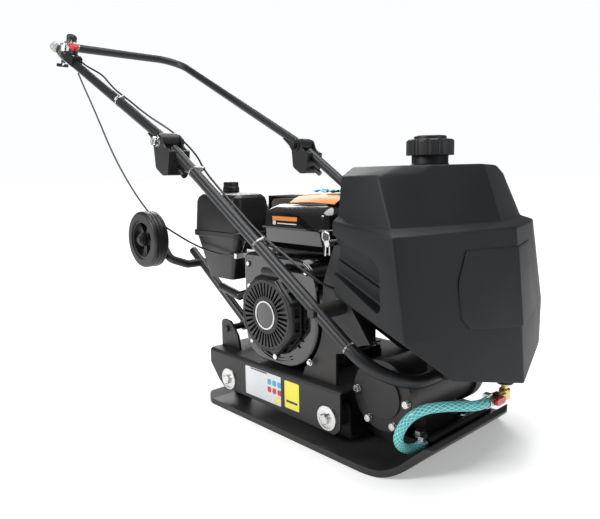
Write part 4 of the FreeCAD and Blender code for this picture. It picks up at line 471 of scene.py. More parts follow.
PIVOT = Vector((-0.354, 0, 0.622))
HANDLE_Y = 222
TUBE = 0.0125
LOWER_SLOPE, UPPER_SLOPE = math.radians(33.6), math.radians(26.5)
LOWER_RUN = Vector((math.cos(LOWER_SLOPE), 0, -math.sin(LOWER_SLOPE)))
LOWER_OUT = Vector((math.sin(LOWER_SLOPE), 0, math.cos(LOWER_SLOPE)))
UPPER_RUN = Vector((-math.cos(UPPER_SLOPE), 0, math.sin(UPPER_SLOPE)))
UPPER_OUT = Vector((math.sin(UPPER_SLOPE), 0, math.cos(UPPER_SLOPE)))


def on_lower(s, y, out=0.0):
    """A point s millimetres down the lower handle, and out above its centre line."""
    return PIVOT + LOWER_RUN * (s * MM) + LOWER_OUT * (out * MM) + Y * (y * MM)


def on_upper(s, y, out=0.0):
    return PIVOT + UPPER_RUN * (s * MM) + UPPER_OUT * (out * MM) + Y * (y * MM)


# ------------------------------------------------------------ cords

LINE_RADIUS, HOSE_RADIUS = 0.0025, 0.009
CABLE_ROUTE = (
    (-0.866, -0.2066, 0.846), (-0.842, -0.203, 0.806), (-0.806, -0.198, 0.752),
    (-0.772, -0.192, 0.694), (-0.738, -0.186, 0.634), (-0.700, -0.180, 0.578),
    (-0.655, -0.175, 0.526), (-0.605, -0.172, 0.480), (-0.550, -0.170, 0.440),
    (-0.490, -0.168, 0.412), (-0.428, -0.168, 0.394), (-0.376, -0.167, 0.379),
    (-0.320, -0.166, 0.366), (-0.264, -0.166, 0.358), (-0.229, -0.163, 0.355),
    (-0.209, -0.156, 0.354), (-0.192, -0.150, 0.354),
)
UPPER_WIRE = (
    (540, 6.5, 15.6), (500, 6.5, 15.4), (462, 8, 18), (424, 9, 22), (386, 9, 24), (344, 8, 19),
    (302, 7, 15.4), (262, 8, 15.6), (218, 10, 15.8), (168, 15, 12), (124, 27, 7), (84, 41, 4),
    (46, 48, 1), (10, 48, 0),
)
LOWER_WIRE = (
    (0, 48, 0), (40, 48, 1), (80, 41, 4), (120, 27, 8), (162, 15, 13), (210, 9, 16),
    (256, 8, 15.8), (304, 7, 16.4), (352, 7, 16), (396, 8, 17), (438, 9, 22), (480, 10, 28),
    (520, 14, 30), (556, 26, 30), (576, 43, 28), (588, 62, 26),
)
WIRE_ROUTE = ([on_upper(s, side - HANDLE_Y, out) for s, side, out in UPPER_WIRE]
              + [on_lower(s, side - HANDLE_Y, out) for s, side, out in LOWER_WIRE])
HOSE_ROUTE = (
    (0.410, -0.053, 0.140), (0.410, -0.086, 0.140), (0.394, -0.114, 0.143),
    (0.370, -0.136, 0.142), (0.345, -0.156, 0.136), (0.325, -0.172, 0.120),
    (0.313, -0.181, 0.098), (0.305, -0.180, 0.074), (0.303, -0.166, 0.055),
    (0.306, -0.147, 0.045), (0.310, -0.127, 0.043), (0.310, -0.104, 0.043),
)


def cord_line(name, points, radius, steps):
    """A smooth curve with the route's points as its control points."""
    data = bpy.data.curves.new(name, "CURVE")
    data.dimensions, data.resolution_u = "3D", steps
    data.bevel_depth, data.bevel_resolution, data.use_fill_caps = radius, 5, True
    spline = data.splines.new("NURBS")
    spline.points.add(len(points) - 1)
    for knot, point in zip(spline.points, points):
        knot.co = (*point, 1)
    spline.order_u = 3
    spline.use_endpoint_u = True
    curve = bpy.data.objects.new(name, data)
    scene.collection.objects.link(curve)
    return curve


def meshed(curve):
    bpy.context.view_layer.update()
    return bpy.data.meshes.new_from_object(curve.evaluated_get(bpy.context.evaluated_depsgraph_get()))


def cord_tube(name, points, radius, finish, body, replaced, steps=8):
    """A mesh tube along a route's smooth curve, and the points that it follows."""
    curve = cord_line(name + "_line", points, radius, steps)
    mesh = meshed(curve)
    curve.data.bevel_depth = 0.0
    followed = [tuple(v.co) for v in meshed(curve).vertices]
    bpy.data.objects.remove(curve)
    mesh.name = name
    return placed(mesh, name, finish, body, replaced, 50.0), followed


def make_cords():
    cable, line = cord_tube("throttle_cable_sleeve", CABLE_ROUTE, LINE_RADIUS, "cable_sleeve",
                            None, ["throttle_cable"])
    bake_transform(cable)
    stop, line = cord_tube("stop_switch_wire", WIRE_ROUTE, LINE_RADIUS, "cable_sleeve",
                           None, ["stop_wire_upper", "stop_wire_lower"])
    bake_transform(stop)
    hose, line = cord_tube("tank_hose", HOSE_ROUTE, HOSE_RADIUS, "hose_braid", "root",
                           ["water_hose"], steps=10)


make_cords()

# ------------------------------------------------------------ CAD pieces and their finishes

CAD_FINISHES = {
    "tube_paint": ("lower_handle", "upper_handle"),
    "frame_paint": ("deck", "belt_guard", "wheel_ears", "wheel_frame", "handle_brackets",
                    "handle_barrels", "handle_bolts", "sprinkler_bar", "near_lock_pin", "far_lock_pin"),
    "plate_paint": ("base_plate", "mount_brackets"),
    "support_paint": ("side_supports",),
    "cast_paint": ("exciter_housing", "exciter_near_cover", "exciter_far_cover"),
    "engine_gloss": ("blower_housing", "fuel_tank", "muffler_guard"),
    "crankcase_paint": ("crankcase",),
    "engine_alloy": ("cylinder", "cylinder_head", "carburetor"),
    "engine_plastic": ("recoil_cover", "air_cleaner_base", "air_cleaner_cover", "fuel_cap",
                       "spark_plug", "switch_box"),
    "grip_rubber": ("recoil_grip",),
    "tank_plastic": ("water_tank",),
    "cap_plastic": ("water_cap",),
    "zinc": ("mount_bolts", "exciter_bolts", "tank_rod", "throttle_arm",
             "throttle_base", "throttle_lever", "hose_clamps", "control_plate", "engine_fasteners"),
    "steel": ("exciter_bearings", "exciter_shaft", "crankshaft"),
    "muffler_steel": ("muffler",),
    "mount_rubber": ("rubber_mounts", "handle_bushes", "tank_pads", "drive_belt"),
    "rim_plastic": ("near_wheel", "far_wheel"),
    "brass": ("tank_outlet",),
    "signal_red": ("stop_button", "valve_lever"),
    "cable_sleeve": ("throttle_cable", "stop_wire_upper", "stop_wire_lower"),
    "hose_braid": ("water_hose",),
}
for finish, names in CAD_FINISHES.items():
    for name in names:
        NODES[name].data.materials.clear()
        NODES[name].data.materials.append(F[finish])

# ------------------------------------------------------------ water tank

# each section's rear, corner and ridge heights, ridge, corner x and y, rear x and y, in millimetres
TANK_SECTIONS = (
    ((160, 160, 160), 447, 368, 236, 191, 214), ((275, 275, 275), 438, 362, 238, 186, 214),
    ((457, 441, 446), 421, 336, 239, 180, 214), ((467, 450, 453), 391, 318, 218, 182, 200),
    ((536, 538, 540), 361, 281, 208, 180, 190), ((553, 554, 556), 352, 293, 156, 176, 154),
)
TANK_CROWN, TANK_CROWN_AT = 6.0, 0.34
NOSE_BOTTOM = 0.166
ROD = Vector((0.168, 0, 0.416))
NECK = Vector((0.239, 0, 0.553))
OUTLET_X = 0.410
HEEL = (0.322, 0, 0.196)
LOW_CORNER, NOSE_TIP = (0.366, 0.236, 0.266), (0.447, 0, 0.166)
TANK_WELD = 0.002


def tank_ring(section):
    """One level outline of the tank, its front faces slightly crowned."""
    heights, ridge, corner_x, corner_y, rear_x, rear_y = section
    rear_z, corner_z, ridge_z = heights
    across = Vector((ridge - corner_x, corner_y, ridge_z - corner_z))
    outward = Vector((across.y, -across.x, 0)).normalized()
    crown = Vector((corner_x, -corner_y, corner_z)) + across * TANK_CROWN_AT + outward * TANK_CROWN
    near = [Vector((rear_x, -rear_y, rear_z)), Vector((corner_x, -corner_y, corner_z)), crown]
    far = [Vector((point.x, -point.y, point.z)) for point in reversed(near)]
    return [point * MM for point in near + [Vector((ridge, 0, ridge_z))] + far]


def tank_body():
    bm = bmesh.new()
    loops = []
    for section in TANK_SECTIONS:
        verts = [bm.verts.new(point) for point in tank_ring(section)]
        loops.append([bm.edges.new(pair) for pair in zip(verts, verts[1:] + verts[:1])])
    for low, high in zip(loops, loops[1:]):
        bmesh.ops.bridge_loops(bm, edges=low + high)
    bmesh.ops.holes_fill(bm, edges=loops[0] + loops[-1], sides=0)
    under = Vector((-math.sin(LOWER_SLOPE), 0, -math.cos(LOWER_SLOPE)))
    side_cut = Vector((-175, 0, 70)).cross(Vector((32, -87, -71))).normalized()
    side_cut = -side_cut if side_cut.z > 0 else side_cut
    cuts = [((0, 0, NOSE_BOTTOM), (0, 0, -1)), (HEEL, under)]
    belly_cut = Vector((-1, 0, 0.42)).cross(Vector((-34, -105, 22))).normalized()
    belly_cut = -belly_cut if belly_cut.z > 0 else belly_cut
    for side in (-1, 1):
        corner_x, corner_y, corner_z = LOW_CORNER
        cuts.append(((corner_x, side * corner_y, corner_z),
                     (side_cut.x, side * side_cut.y, side_cut.z)))
        cuts.append((NOSE_TIP, (belly_cut.x, side * belly_cut.y, belly_cut.z)))
    for point, normal in cuts:
        bmesh.ops.bisect_plane(bm, geom=bm.verts[:] + bm.edges[:] + bm.faces[:], dist=1e-6,
                               plane_co=point, plane_no=normal, clear_outer=True)
        bmesh.ops.holes_fill(bm, edges=[e for e in bm.edges if e.is_boundary], sides=0)
    bmesh.ops.remove_doubles(bm, verts=bm.verts, dist=TANK_WELD)
    return bm


def drawn_out(bm, outline, along, place=Matrix.Identity(4)):
    """A closed outline drawn out along a vector."""
    face = bm.faces.new([bm.verts.new(place @ Vector(point)) for point in outline])
    made = bmesh.ops.extrude_face_region(bm, geom=[face])["geom"]
    verts = [v for v in made if isinstance(v, bmesh.types.BMVert)]
    bmesh.ops.translate(bm, vec=along, verts=verts)
    return face


RECESS = ((150, 443), (288, 400), (304, 388), (306, 318), (298, 309), (150, 380))
RECESS_FLOOR, RECESS_OUT = 202.0, 260.0
STEP = ((150, 428), (276, 388), (288, 378), (289, 342), (150, 402))
STEP_FLOOR = 194.0
TANK_EASE, CUTTER_EASE = 0.0062, 0.0035


def recess_cutter(outline, floor, depth):
    bm = bmesh.new()
    for side in (-1, 1):
        drawn_out(bm, [(x * MM, side * floor * MM, z * MM) for x, z in outline], Y * side * depth * MM)
    bmesh.ops.recalc_face_normals(bm, faces=bm.faces[:])
    eased(bm, CUTTER_EASE, segments=3, angle=20.0)
    return loose(bm, "recess_cutter")


def make_tank():
    """The moulded shell: rounded form, stepped flank panels, lugs, neck and outlet boss."""
    form = tank_body()
    bmesh.ops.recalc_face_normals(form, faces=form.faces[:])
    eased(form, TANK_EASE, segments=4, angle=12.0)
    tank = loose(form, "tank_form")
    tank = combined(tank, recess_cutter(RECESS, RECESS_FLOOR, RECESS_OUT - RECESS_FLOOR), "DIFFERENCE")
    tank = combined(tank, recess_cutter(STEP, STEP_FLOOR, RECESS_OUT - STEP_FLOOR), "DIFFERENCE")
    bm = bmesh.new()
    bm.from_mesh(tank.data)
    bpy.data.objects.remove(tank)
    for side in (-1, 1):
        lug = block(bm, (0.03, 0.008, 0.03), Matrix.Translation((0.179, side * 0.166, ROD.z)))
        softened(bm, lug, 0.0025)
        lathe(bm, [(0.0062, -0.005), (0.014, -0.005), (0.0145, -0.0045), (0.0145, 0.0045),
                   (0.014, 0.005), (0.0062, 0.005), (0.0062, -0.005)],
              aimed((ROD.x, side * 0.166, ROD.z), Y), 28)
    lathe(bm, [(0.0301, 0.043), (0.033, 0.043), (0.035, 0.041), (0.035, 0.006), (0.0362, 0.0035),
               (0.0385, 0.0022), (0.0392, 0.0012), (0.0392, -0.006), (0.0301, -0.006), (0.0301, 0.043)],
          aimed(NECK), 48)
    lathe(bm, [(0.0105, -0.006), (0.0145, -0.006), (0.016, -0.0045), (0.017, 0.004), (0.0105, 0.004),
               (0.0105, -0.006)], aimed((OUTLET_X, 0, NOSE_BOTTOM)), 36)
    return finished(bm, "tank_shell", "tank_plastic", "root", ["water_tank"], 40.0)


PANEL = ((-116, 412), (116, 412), (130, 404), (134, 392), (134, 300), (118, 282), (48, 274), (0, 272),
         (-48, 274), (-118, 282), (-134, 300), (-134, 392), (-130, 404))
PANEL_PROUD = 0.0024


def make_tank_panel():
    """The raised panel that wraps the tank's front ridge."""
    window = bmesh.new()
    drawn_out(window, [(0.392, y * MM, z * MM) for y, z in PANEL], X * 0.1)
    bmesh.ops.recalc_face_normals(window, faces=window.faces[:])
    form = tank_body()
    bmesh.ops.translate(form, vec=X * PANEL_PROUD, verts=form.verts)
    panel = combined(loose(window, "window"), loose(form, "shifted_form"), "INTERSECT")
    bm = bmesh.new()
    bm.from_mesh(panel.data)
    bpy.data.objects.remove(panel)
    bmesh.ops.remove_doubles(bm, verts=bm.verts, dist=2e-5)
    bmesh.ops.dissolve_limit(bm, angle_limit=math.radians(0.6), verts=bm.verts[:], edges=bm.edges[:])
    eased(bm, 0.0018, segments=3, angle=12.0)
    return finished(bm, "tank_front_panel", "tank_plastic", "root", smooth=40.0)


make_tank()
make_tank_panel()

# ------------------------------------------------------------ starter cover and fan housing

CRANK = Vector((-0.031, 0, 0.247))
COVER_BASE, COVER_FACE = -0.168, -0.198
COVER_SIDES = 8
SLOTS, SLOT_IN, SLOT_OUT = 36, 0.040, 0.069
BADGE_RING = (0.0270, 0.0312)


def make_starter_cover():
    """An eight-sided pan with radial slots in its face and windows in two of its sides."""
    deep = COVER_BASE - COVER_FACE
    turn = Matrix.Rotation(math.pi / COVER_SIDES, 4, "Z")
    place = aimed(CRANK + Y * COVER_BASE, -Y) @ turn
    bm = bmesh.new()
    bmesh.ops.create_cone(bm, cap_ends=True, segments=COVER_SIDES, radius1=0.0925, radius2=0.0855,
                          depth=deep, matrix=place @ Matrix.Translation((0, 0, deep / 2)))
    eased(bm, 0.0055, segments=3, angle=20.0)
    cover = loose(bm, "cover_form")
    cutter = bmesh.new()
    face = aimed(CRANK + Y * COVER_FACE, -Y)
    middle = (SLOT_IN + SLOT_OUT) / 2
    for k in range(SLOTS):
        at = face @ Matrix.Rotation(math.tau * k / SLOTS, 4, "Z") @ Matrix.Translation((middle, 0, 0))
        block(cutter, (SLOT_OUT - SLOT_IN, 0.0046 if k % 2 else 0.0052, 0.018), at)
    for flat in range(COVER_SIDES):
        side = Matrix.Rotation(math.tau * flat / COVER_SIDES, 4, "Z")
        for step in (-1, 1):
            block(cutter, (0.016, 0.020, 0.011), face @ side
                  @ Matrix.Translation((0.0845, step * 0.0145, -0.0165)))
    cover = combined(cover, loose(cutter, "slots"), "DIFFERENCE")
    bm = bmesh.new()
    bm.from_mesh(cover.data)
    bpy.data.objects.remove(cover)
    for height, radius in ((0.0, 0.0745), (0.0, 0.0365)):
        lathe(bm, [(radius - 0.0014, height - 0.001), (radius - 0.0009, height + 0.0008),
                   (radius + 0.0009, height + 0.0008), (radius + 0.0014, height - 0.001),
                   (radius - 0.0014, height - 0.001)], face, 64)
    finished(bm, "starter_cover", "engine_plastic", "root", ["recoil_cover"], 30.0)
    bm = bmesh.new()
    lathe(bm, [(0.0, 0.0018), (0.018, 0.0016), (0.0262, 0.0010), (0.0268, 0.0), (0.0268, -0.001),
               (0.0, -0.001)], face, 56)
    finished(bm, "starter_badge", "engine_gloss", "root")
    bm = bmesh.new()
    inner, outer = BADGE_RING
    lathe(bm, [(inner, -0.001), (inner, 0.0016), (inner + 0.0005, 0.0021),
               (outer - 0.0005, 0.0021), (outer, 0.0016), (outer, -0.001), (inner, -0.001)], face, 64)
    finished(bm, "starter_badge_ring", "badge_silver", "root")


def make_housing_ribs():
    """Raised arcs and cooling slats on the fan housing round the starter cover."""
    bm = bmesh.new()
    place = aimed(CRANK + Y * COVER_BASE, -Y)
    for radius, high in ((0.0985, 0.004), (0.105, 0.003)):
        profile = [(radius - 0.0016, -0.001), (radius - 0.001, high), (radius + 0.001, high),
                   (radius + 0.0016, -0.001)]
        start = Matrix.Rotation(math.radians(-62), 4, "Z")
        points = [bm.verts.new(place @ start @ Vector((r, 0, h))) for r, h in profile]
        edges = [bm.edges.new(pair) for pair in zip(points, points[1:])]
        bmesh.ops.spin(bm, geom=points + edges, cent=CRANK, axis=-Y, steps=30,
                       angle=math.radians(-104), use_merge=False)
    for k in range(9):
        turn = Matrix.Rotation(math.radians(-40 + k * 11), 4, "Z")
        slat = block(bm, (0.009, 0.0016, 0.004), place @ turn @ Matrix.Translation((0.0935, 0, 0.0015)))
        softened(bm, slat, 0.0004, 1)
    finished(bm, "housing_ribs", "engine_gloss", "root")


make_starter_cover()
make_housing_ribs()

# ------------------------------------------------------------ cable ties

TIE_WIDE, TIE_THICK = 0.0036, 0.0011
UPPER_TIES = ((255, 8, 15.6), (696, 10, 4.0), (712, 10, 4.0))
LOWER_TIES = ((131, 24, 9.0), (401, 8, 17.0), (700, 8, 4.0))


def tie(bm, centre, run, wire):
    """A nylon band drawn round the tube and the wire beside it, with its latch and tail."""
    verts = []
    for at, radius in ((centre, TUBE), (wire, LINE_RADIUS)):
        place = aimed(at, run)
        verts += bmesh.ops.create_cone(bm, cap_ends=True, segments=28, radius1=radius + TIE_THICK,
                                       radius2=radius + TIE_THICK, depth=TIE_WIDE,
                                       matrix=place)["verts"]
    hull = bmesh.ops.convex_hull(bm, input=verts)
    spare = [v for v in hull["geom_interior"] if isinstance(v, bmesh.types.BMVert)]
    bmesh.ops.delete(bm, geom=spare, context="VERTS")
    out = (wire - centre).normalized()
    side = run.cross(out).normalized()
    latch_at = centre - side * (TUBE + TIE_THICK + 0.001)
    turn = Matrix((side, run, out)).transposed().to_4x4()
    latch = block(bm, (0.0042, 0.0052, 0.0058), Matrix.Translation(latch_at) @ turn)
    tail = block(bm, (0.0012, TIE_WIDE * 0.8, 0.009),
                 Matrix.Translation(latch_at - side * 0.0012 + out * 0.0062) @ turn
                 @ Matrix.Rotation(0.35, 4, "Y"))
    softened(bm, latch + tail, 0.0004)


def make_ties():
    for name, spots, on_leg, run, body in (
            ("upper_cable_ties", UPPER_TIES, on_upper, UPPER_RUN, "upper_handle"),
            ("lower_cable_ties", LOWER_TIES, on_lower, LOWER_RUN, "root")):
        bm = bmesh.new()
        for s, side, out in spots:
            tie(bm, on_leg(s, -HANDLE_Y), run, on_leg(s, side - HANDLE_Y, out))
        finished(bm, name, "tie_nylon", body)


# ------------------------------------------------------------ labels, tag and wrapping film

FLANGE_Y = -0.179
LABEL_THICK = 0.0004


def label(name, finish, x, z, wide, high, y, round_by=0.002, lean=0.0):
    """A thin plain sticker on a face that looks to the near side."""
    bm = bmesh.new()
    place = Matrix.Translation((x, y, z)) @ Matrix.Rotation(lean, 4, "X")
    verts = block(bm, (wide, LABEL_THICK, high), place)
    softened(bm, verts, round_by, 3, only_along_y=True)
    finished(bm, name, finish, "root")


def make_labels():
    label("deck_label", "label_white", -0.068, 0.078, 0.122, 0.066, FLANGE_Y - 0.0001)
    label("deck_label_header", "label_black", -0.082, 0.1085, 0.056, 0.0028, FLANGE_Y - 0.0004, 0.0005)
    for k in range(3):
        at = -0.045 + k * 0.0165
        label(f"deck_label_blue_{k}", "wrap_film", at, 0.092, 0.0125, 0.0125, FLANGE_Y - 0.0004, 0.004)
        label(f"deck_label_red_{k}", "signal_red", at, 0.0745, 0.0125, 0.0125, FLANGE_Y - 0.0004, 0.004)
    label("deck_label_mark", "label_yellow", -0.0185, 0.0555, 0.017, 0.013, FLANGE_Y - 0.0004, 0.001)
    label("deck_weight_label", "label_yellow", 0.0275, 0.079, 0.045, 0.060, FLANGE_Y - 0.0001, 0.003)
    label("deck_weight_bar", "label_black", 0.0275, 0.0645, 0.034, 0.0045, FLANGE_Y - 0.0004, 0.0006)
    label("fuel_label_band", "label_orange", -0.051, 0.4455, 0.080, 0.009, -0.1211, 0.001)
    label("fuel_label_mark", "label_white", -0.085, 0.4355, 0.010, 0.009, -0.1211, 0.001)
    label("fuel_label_lines", "label_white", -0.044, 0.4345, 0.062, 0.0022, -0.1211, 0.0005)
    label("air_label_band", "label_orange", -0.283, 0.4605, 0.056, 0.006, -0.1521, 0.001, -0.061)
    label("air_label_lines", "label_white", -0.283, 0.4515, 0.054, 0.0022, -0.1526, 0.0005, -0.061)


def thickened(bm, thick):
    """Gives a flat sheet a second side, one thickness below the first."""
    grown = bmesh.ops.extrude_face_region(bm, geom=bm.faces[:])
    bmesh.ops.translate(bm, vec=(0, 0, -thick),
                        verts=[g for g in grown["geom"] if isinstance(g, bmesh.types.BMVert)])
    bmesh.ops.recalc_face_normals(bm, faces=bm.faces[:])


def make_tag():
    """A blank orange card that leans on the fuel cap, held by its own stiffness."""
    bm = bmesh.new()
    bmesh.ops.create_grid(bm, x_segments=16, y_segments=8, size=0.5,
                          matrix=Matrix.Diagonal((0.132, 0.056, 1, 1)))
    corners = [v for v in bm.verts if v.co.x < -0.052 and v.co.y > 0.013]
    bmesh.ops.translate(bm, vec=(0.014, 0, 0), verts=corners)
    for vert in bm.verts:
        across = vert.co.y / 0.056 + 0.5
        vert.co.z = 0.0035 * math.sin(across * math.pi) + 0.002 * math.cos(vert.co.x * 30)
    thickened(bm, 0.0006)
    place = Matrix.Translation((-0.004, -0.060, 0.4875)) @ Matrix.Rotation(0.05, 4, "Z")
    bmesh.ops.transform(bm, matrix=place @ Matrix.Rotation(0.30, 4, "X"), verts=bm.verts)
    finished(bm, "service_tag", "label_orange", "root", smooth=50.0)


def make_wrap():
    """A crumpled scrap of blue film laid over the fuel cap's rim."""
    rng = random.Random(11)
    bm = bmesh.new()
    bmesh.ops.create_grid(bm, x_segments=40, y_segments=24, size=0.5,
                          matrix=Matrix.Diagonal((0.124, 0.062, 1, 1)))
    for vert in bm.verts:
        fold = math.sin(vert.co.x * 210 + vert.co.y * 90) + math.sin(vert.co.x * 90 - vert.co.y * 240)
        vert.co.z = 0.0016 * fold + rng.uniform(-0.0022, 0.0022)
        vert.co.x += rng.uniform(-0.0008, 0.0008)
        vert.co.y *= 0.86 + 0.14 * math.cos(vert.co.x * 130)
    bmesh.ops.smooth_vert(bm, verts=bm.verts, factor=0.35, use_axis_x=True, use_axis_y=True,
                          use_axis_z=True)
    thickened(bm, 0.0003)
    place = Matrix.Translation((0.006, -0.008, 0.5035)) @ Matrix.Rotation(-0.04, 4, "Z")
    bmesh.ops.transform(bm, matrix=place, verts=bm.verts)
    finished(bm, "film_scrap", "wrap_film", "fuel_cap", smooth=60.0)


# ------------------------------------------------------------ hand controls

LEVER_S, SWITCH_S = 638, 566


def make_controls():
    bm = bmesh.new()
    lathe(bm, [(0.0, 0.0), (0.0110, 0.0), (0.0138, 0.0014), (0.0153, 0.0050), (0.0153, 0.0090),
               (0.0160, 0.0125), (0.0157, 0.0165), (0.0132, 0.0205), (0.0080, 0.0228), (0.0, 0.0234)],
          aimed(on_upper(728, -165, 17.4), UPPER_OUT), 40)
    finished(bm, "lever_knob", "grip_rubber", "throttle_lever")
    bm = bmesh.new()
    lathe(bm, [(0.0, 0.0042), (0.0030, 0.0040), (0.0044, 0.0030), (0.0046, 0.0), (0.0, 0.0)],
          aimed(on_upper(LEVER_S, -HANDLE_Y, 31.0), UPPER_OUT), 6)
    finished(bm, "lever_nut", "zinc", "throttle_lever")
    bm = bmesh.new()
    lathe(bm, [(0.0, 0.0), (0.0044, 0.0), (0.0052, -0.004), (0.0046, -0.018), (0.0, -0.019)],
          aimed(on_upper(LEVER_S, -HANDLE_Y, -14.5), UPPER_OUT), 24)
    for turn in (0.0, math.pi):
        place = aimed(on_upper(LEVER_S, -HANDLE_Y, -32.0), UPPER_OUT, turn)
        wing = block(bm, (0.019, 0.0050, 0.0100), place @ Matrix.Translation((0.0085, 0, -0.001)))
        softened(bm, wing, 0.0022, 3)
    finished(bm, "wing_bolt_grip", "grip_rubber", "upper_handle")
    bm = bmesh.new()
    for s in (SWITCH_S - 20, SWITCH_S + 24):
        for side in (-1, 1):
            lathe(bm, [(0.0, 0.0012), (0.0022, 0.0011), (0.0030, 0.0), (0.0030, -0.002), (0.0, -0.002)],
                  aimed(on_upper(s, -HANDLE_Y + side * 10, 26.0), UPPER_OUT), 18)
    finished(bm, "switch_screws", "zinc", "upper_handle")


# ------------------------------------------------------------ small parts of the engine


def coil(bm, start, end, radius, wire, turns):
    """A helical spring: a small ring spun round the line from start to end."""
    start, end = Vector(start), Vector(end)
    run = (end - start).normalized()
    out = run.orthogonal().normalized()
    place = Matrix((out, run, out.cross(run))).transposed().to_4x4()
    circle = bmesh.ops.create_circle(bm, segments=8, radius=wire,
                                     matrix=Matrix.Translation(start + out * radius) @ place)["verts"]
    steps = turns * 18
    edges = list({e for v in circle for e in v.link_edges})
    bmesh.ops.spin(bm, geom=circle + edges, cent=start, axis=run, dvec=(end - start) / steps,
                   steps=steps, angle=math.tau * turns, use_merge=False)
    bmesh.ops.holes_fill(bm, edges=[e for e in bm.edges if e.is_boundary], sides=8)


def bar_between(bm, start, end, radius, sides=14):
    start, end = Vector(start), Vector(end)
    return bmesh.ops.create_cone(bm, cap_ends=True, segments=sides, radius1=radius, radius2=radius,
                                 depth=(end - start).length,
                                 matrix=aimed((start + end) / 2, end - start))["verts"]


def make_engine_trim():
    bm = bmesh.new()
    coil(bm, (-0.150, -0.1362, 0.352), (-0.104, -0.1362, 0.377), 0.0032, 0.0005, 14)
    bar_between(bm, (-0.157, -0.1362, 0.350), (-0.149, -0.1362, 0.3525), 0.0007)
    bar_between(bm, (-0.105, -0.1362, 0.3765), (-0.088, -0.1330, 0.3755), 0.0007)
    finished(bm, "governor_spring", "steel", "root")
    bm = bmesh.new()
    for x, z, wide, high, lean in ((-0.113, 0.3755, 0.060, 0.013, 0.1),
                                   (-0.196, 0.373, 0.013, 0.040, 0.5)):
        verts = block(bm, (wide, 0.0016, high), Matrix.Translation((x, -0.1285, z))
                      @ Matrix.Rotation(lean, 4, "Y"))
        softened(bm, verts, 0.004, 3, only_along_y=True)
    finished(bm, "governor_lever", "zinc", "root")
    bm = bmesh.new()
    for x, y, z, lean in ((-0.214, -0.118, 0.350, 0.5), (-0.232, -0.118, 0.322, -0.3)):
        verts = block(bm, (0.034, 0.007, 0.011), Matrix.Translation((x, y, z))
                      @ Matrix.Rotation(lean, 4, "Y"))
        softened(bm, verts, 0.003, 3)
        stem = Vector((x + 0.013, y, z - 0.013 * lean))
        bar_between(bm, stem, stem + Y * 0.022, 0.004)
    finished(bm, "choke_and_fuel_levers", "grip_rubber", "root")
    bm = bmesh.new()
    for x, z in ((-0.112, 0.170), (0.066, 0.345), (-0.120, 0.345), (0.072, 0.160)):
        lathe(bm, [(0.0, 0.0052), (0.0046, 0.0050), (0.0054, 0.0040), (0.0054, 0.0), (0.0076, 0.0),
                   (0.0076, -0.0012), (0.0, -0.0012)], aimed((x, -0.1680, z), -Y, 0.4), 6)
    finished(bm, "housing_screws", "zinc", "root")
    bm = bmesh.new()
    for k in range(6):
        x = -0.205 + k * 0.0045
        verts = block(bm, (0.0022, 0.052, 0.0030), Matrix.Translation((x - 0.05, -0.101, 0.4915)))
        softened(bm, verts, 0.0007, 1)
    lathe(bm, [(0.0, 0.0216), (0.013, 0.0212), (0.0176, 0.0195), (0.0186, 0.017), (0.0186, 0.004),
               (0.0170, 0.0005), (0.0, 0.0)], aimed((-0.291, -0.084, 0.5038)), 36)
    finished(bm, "air_cleaner_trim", "engine_plastic", "root")


# ------------------------------------------------------------ bolt heads


def hex_head(bm, at, out, across, high, washer=0.0, washer_thick=0.002, turn=0.3):
    """A chamfered hexagon head with a raised ring, on a domed washer."""
    place = aimed(at, out, turn)
    corner = across / math.sqrt(3)
    low = 0.0
    if washer:
        low = washer_thick
        lathe(bm, [(0.0, low + 0.0004), (washer * 0.62, low + 0.0004), (washer * 0.9, low * 0.8),
                   (washer - 0.0004, low * 0.55), (washer, low * 0.2), (washer, -0.0004),
                   (0.0, -0.0004)], place, 44)
    lathe(bm, [(0.0, low + high * 0.93), (corner * 0.45, low + high * 0.93),
               (corner * 0.52, low + high), (corner * 0.84, low + high),
               (corner, low + high * 0.86), (corner, low - 0.0002), (0.0, low - 0.0002)], place, 6)


EXCITER = Vector((0.237, 0, 0.126))
EX_NEAR_FACE, EX_FAR_FACE, EX_CIRCLE = -0.140, 0.112, 0.059
MOUNTS, MOUNT_Z = (-0.193, 0.131), 0.062


# ------------------------------------------------------------ fuel tank and air cleaner shells

CORNER_STEPS = 8


def stacked(bm, levels):
    """A closed shape through level rounded rectangles: x from, x to, y from, y to, height, radius."""
    rings = []
    for x0, x1, y0, y1, height, radius in levels:
        ring = []
        for k, (x, y) in enumerate(((x1 - radius, y1 - radius), (x0 + radius, y1 - radius),
                                    (x0 + radius, y0 + radius), (x1 - radius, y0 + radius))):
            for step in range(CORNER_STEPS + 1):
                turn = (k + step / CORNER_STEPS) * math.pi / 2
                ring.append(bm.verts.new(Vector((x + radius * math.cos(turn),
                                                 y + radius * math.sin(turn), height)) * MM))
        rings.append(ring)
    for low, high in zip(rings, rings[1:]):
        for a, b, c, d in zip(low, low[1:] + low[:1], high[1:] + high[:1], high):
            bm.faces.new((a, b, c, d))
    bm.faces.new(rings[0])
    bm.faces.new(rings[-1])


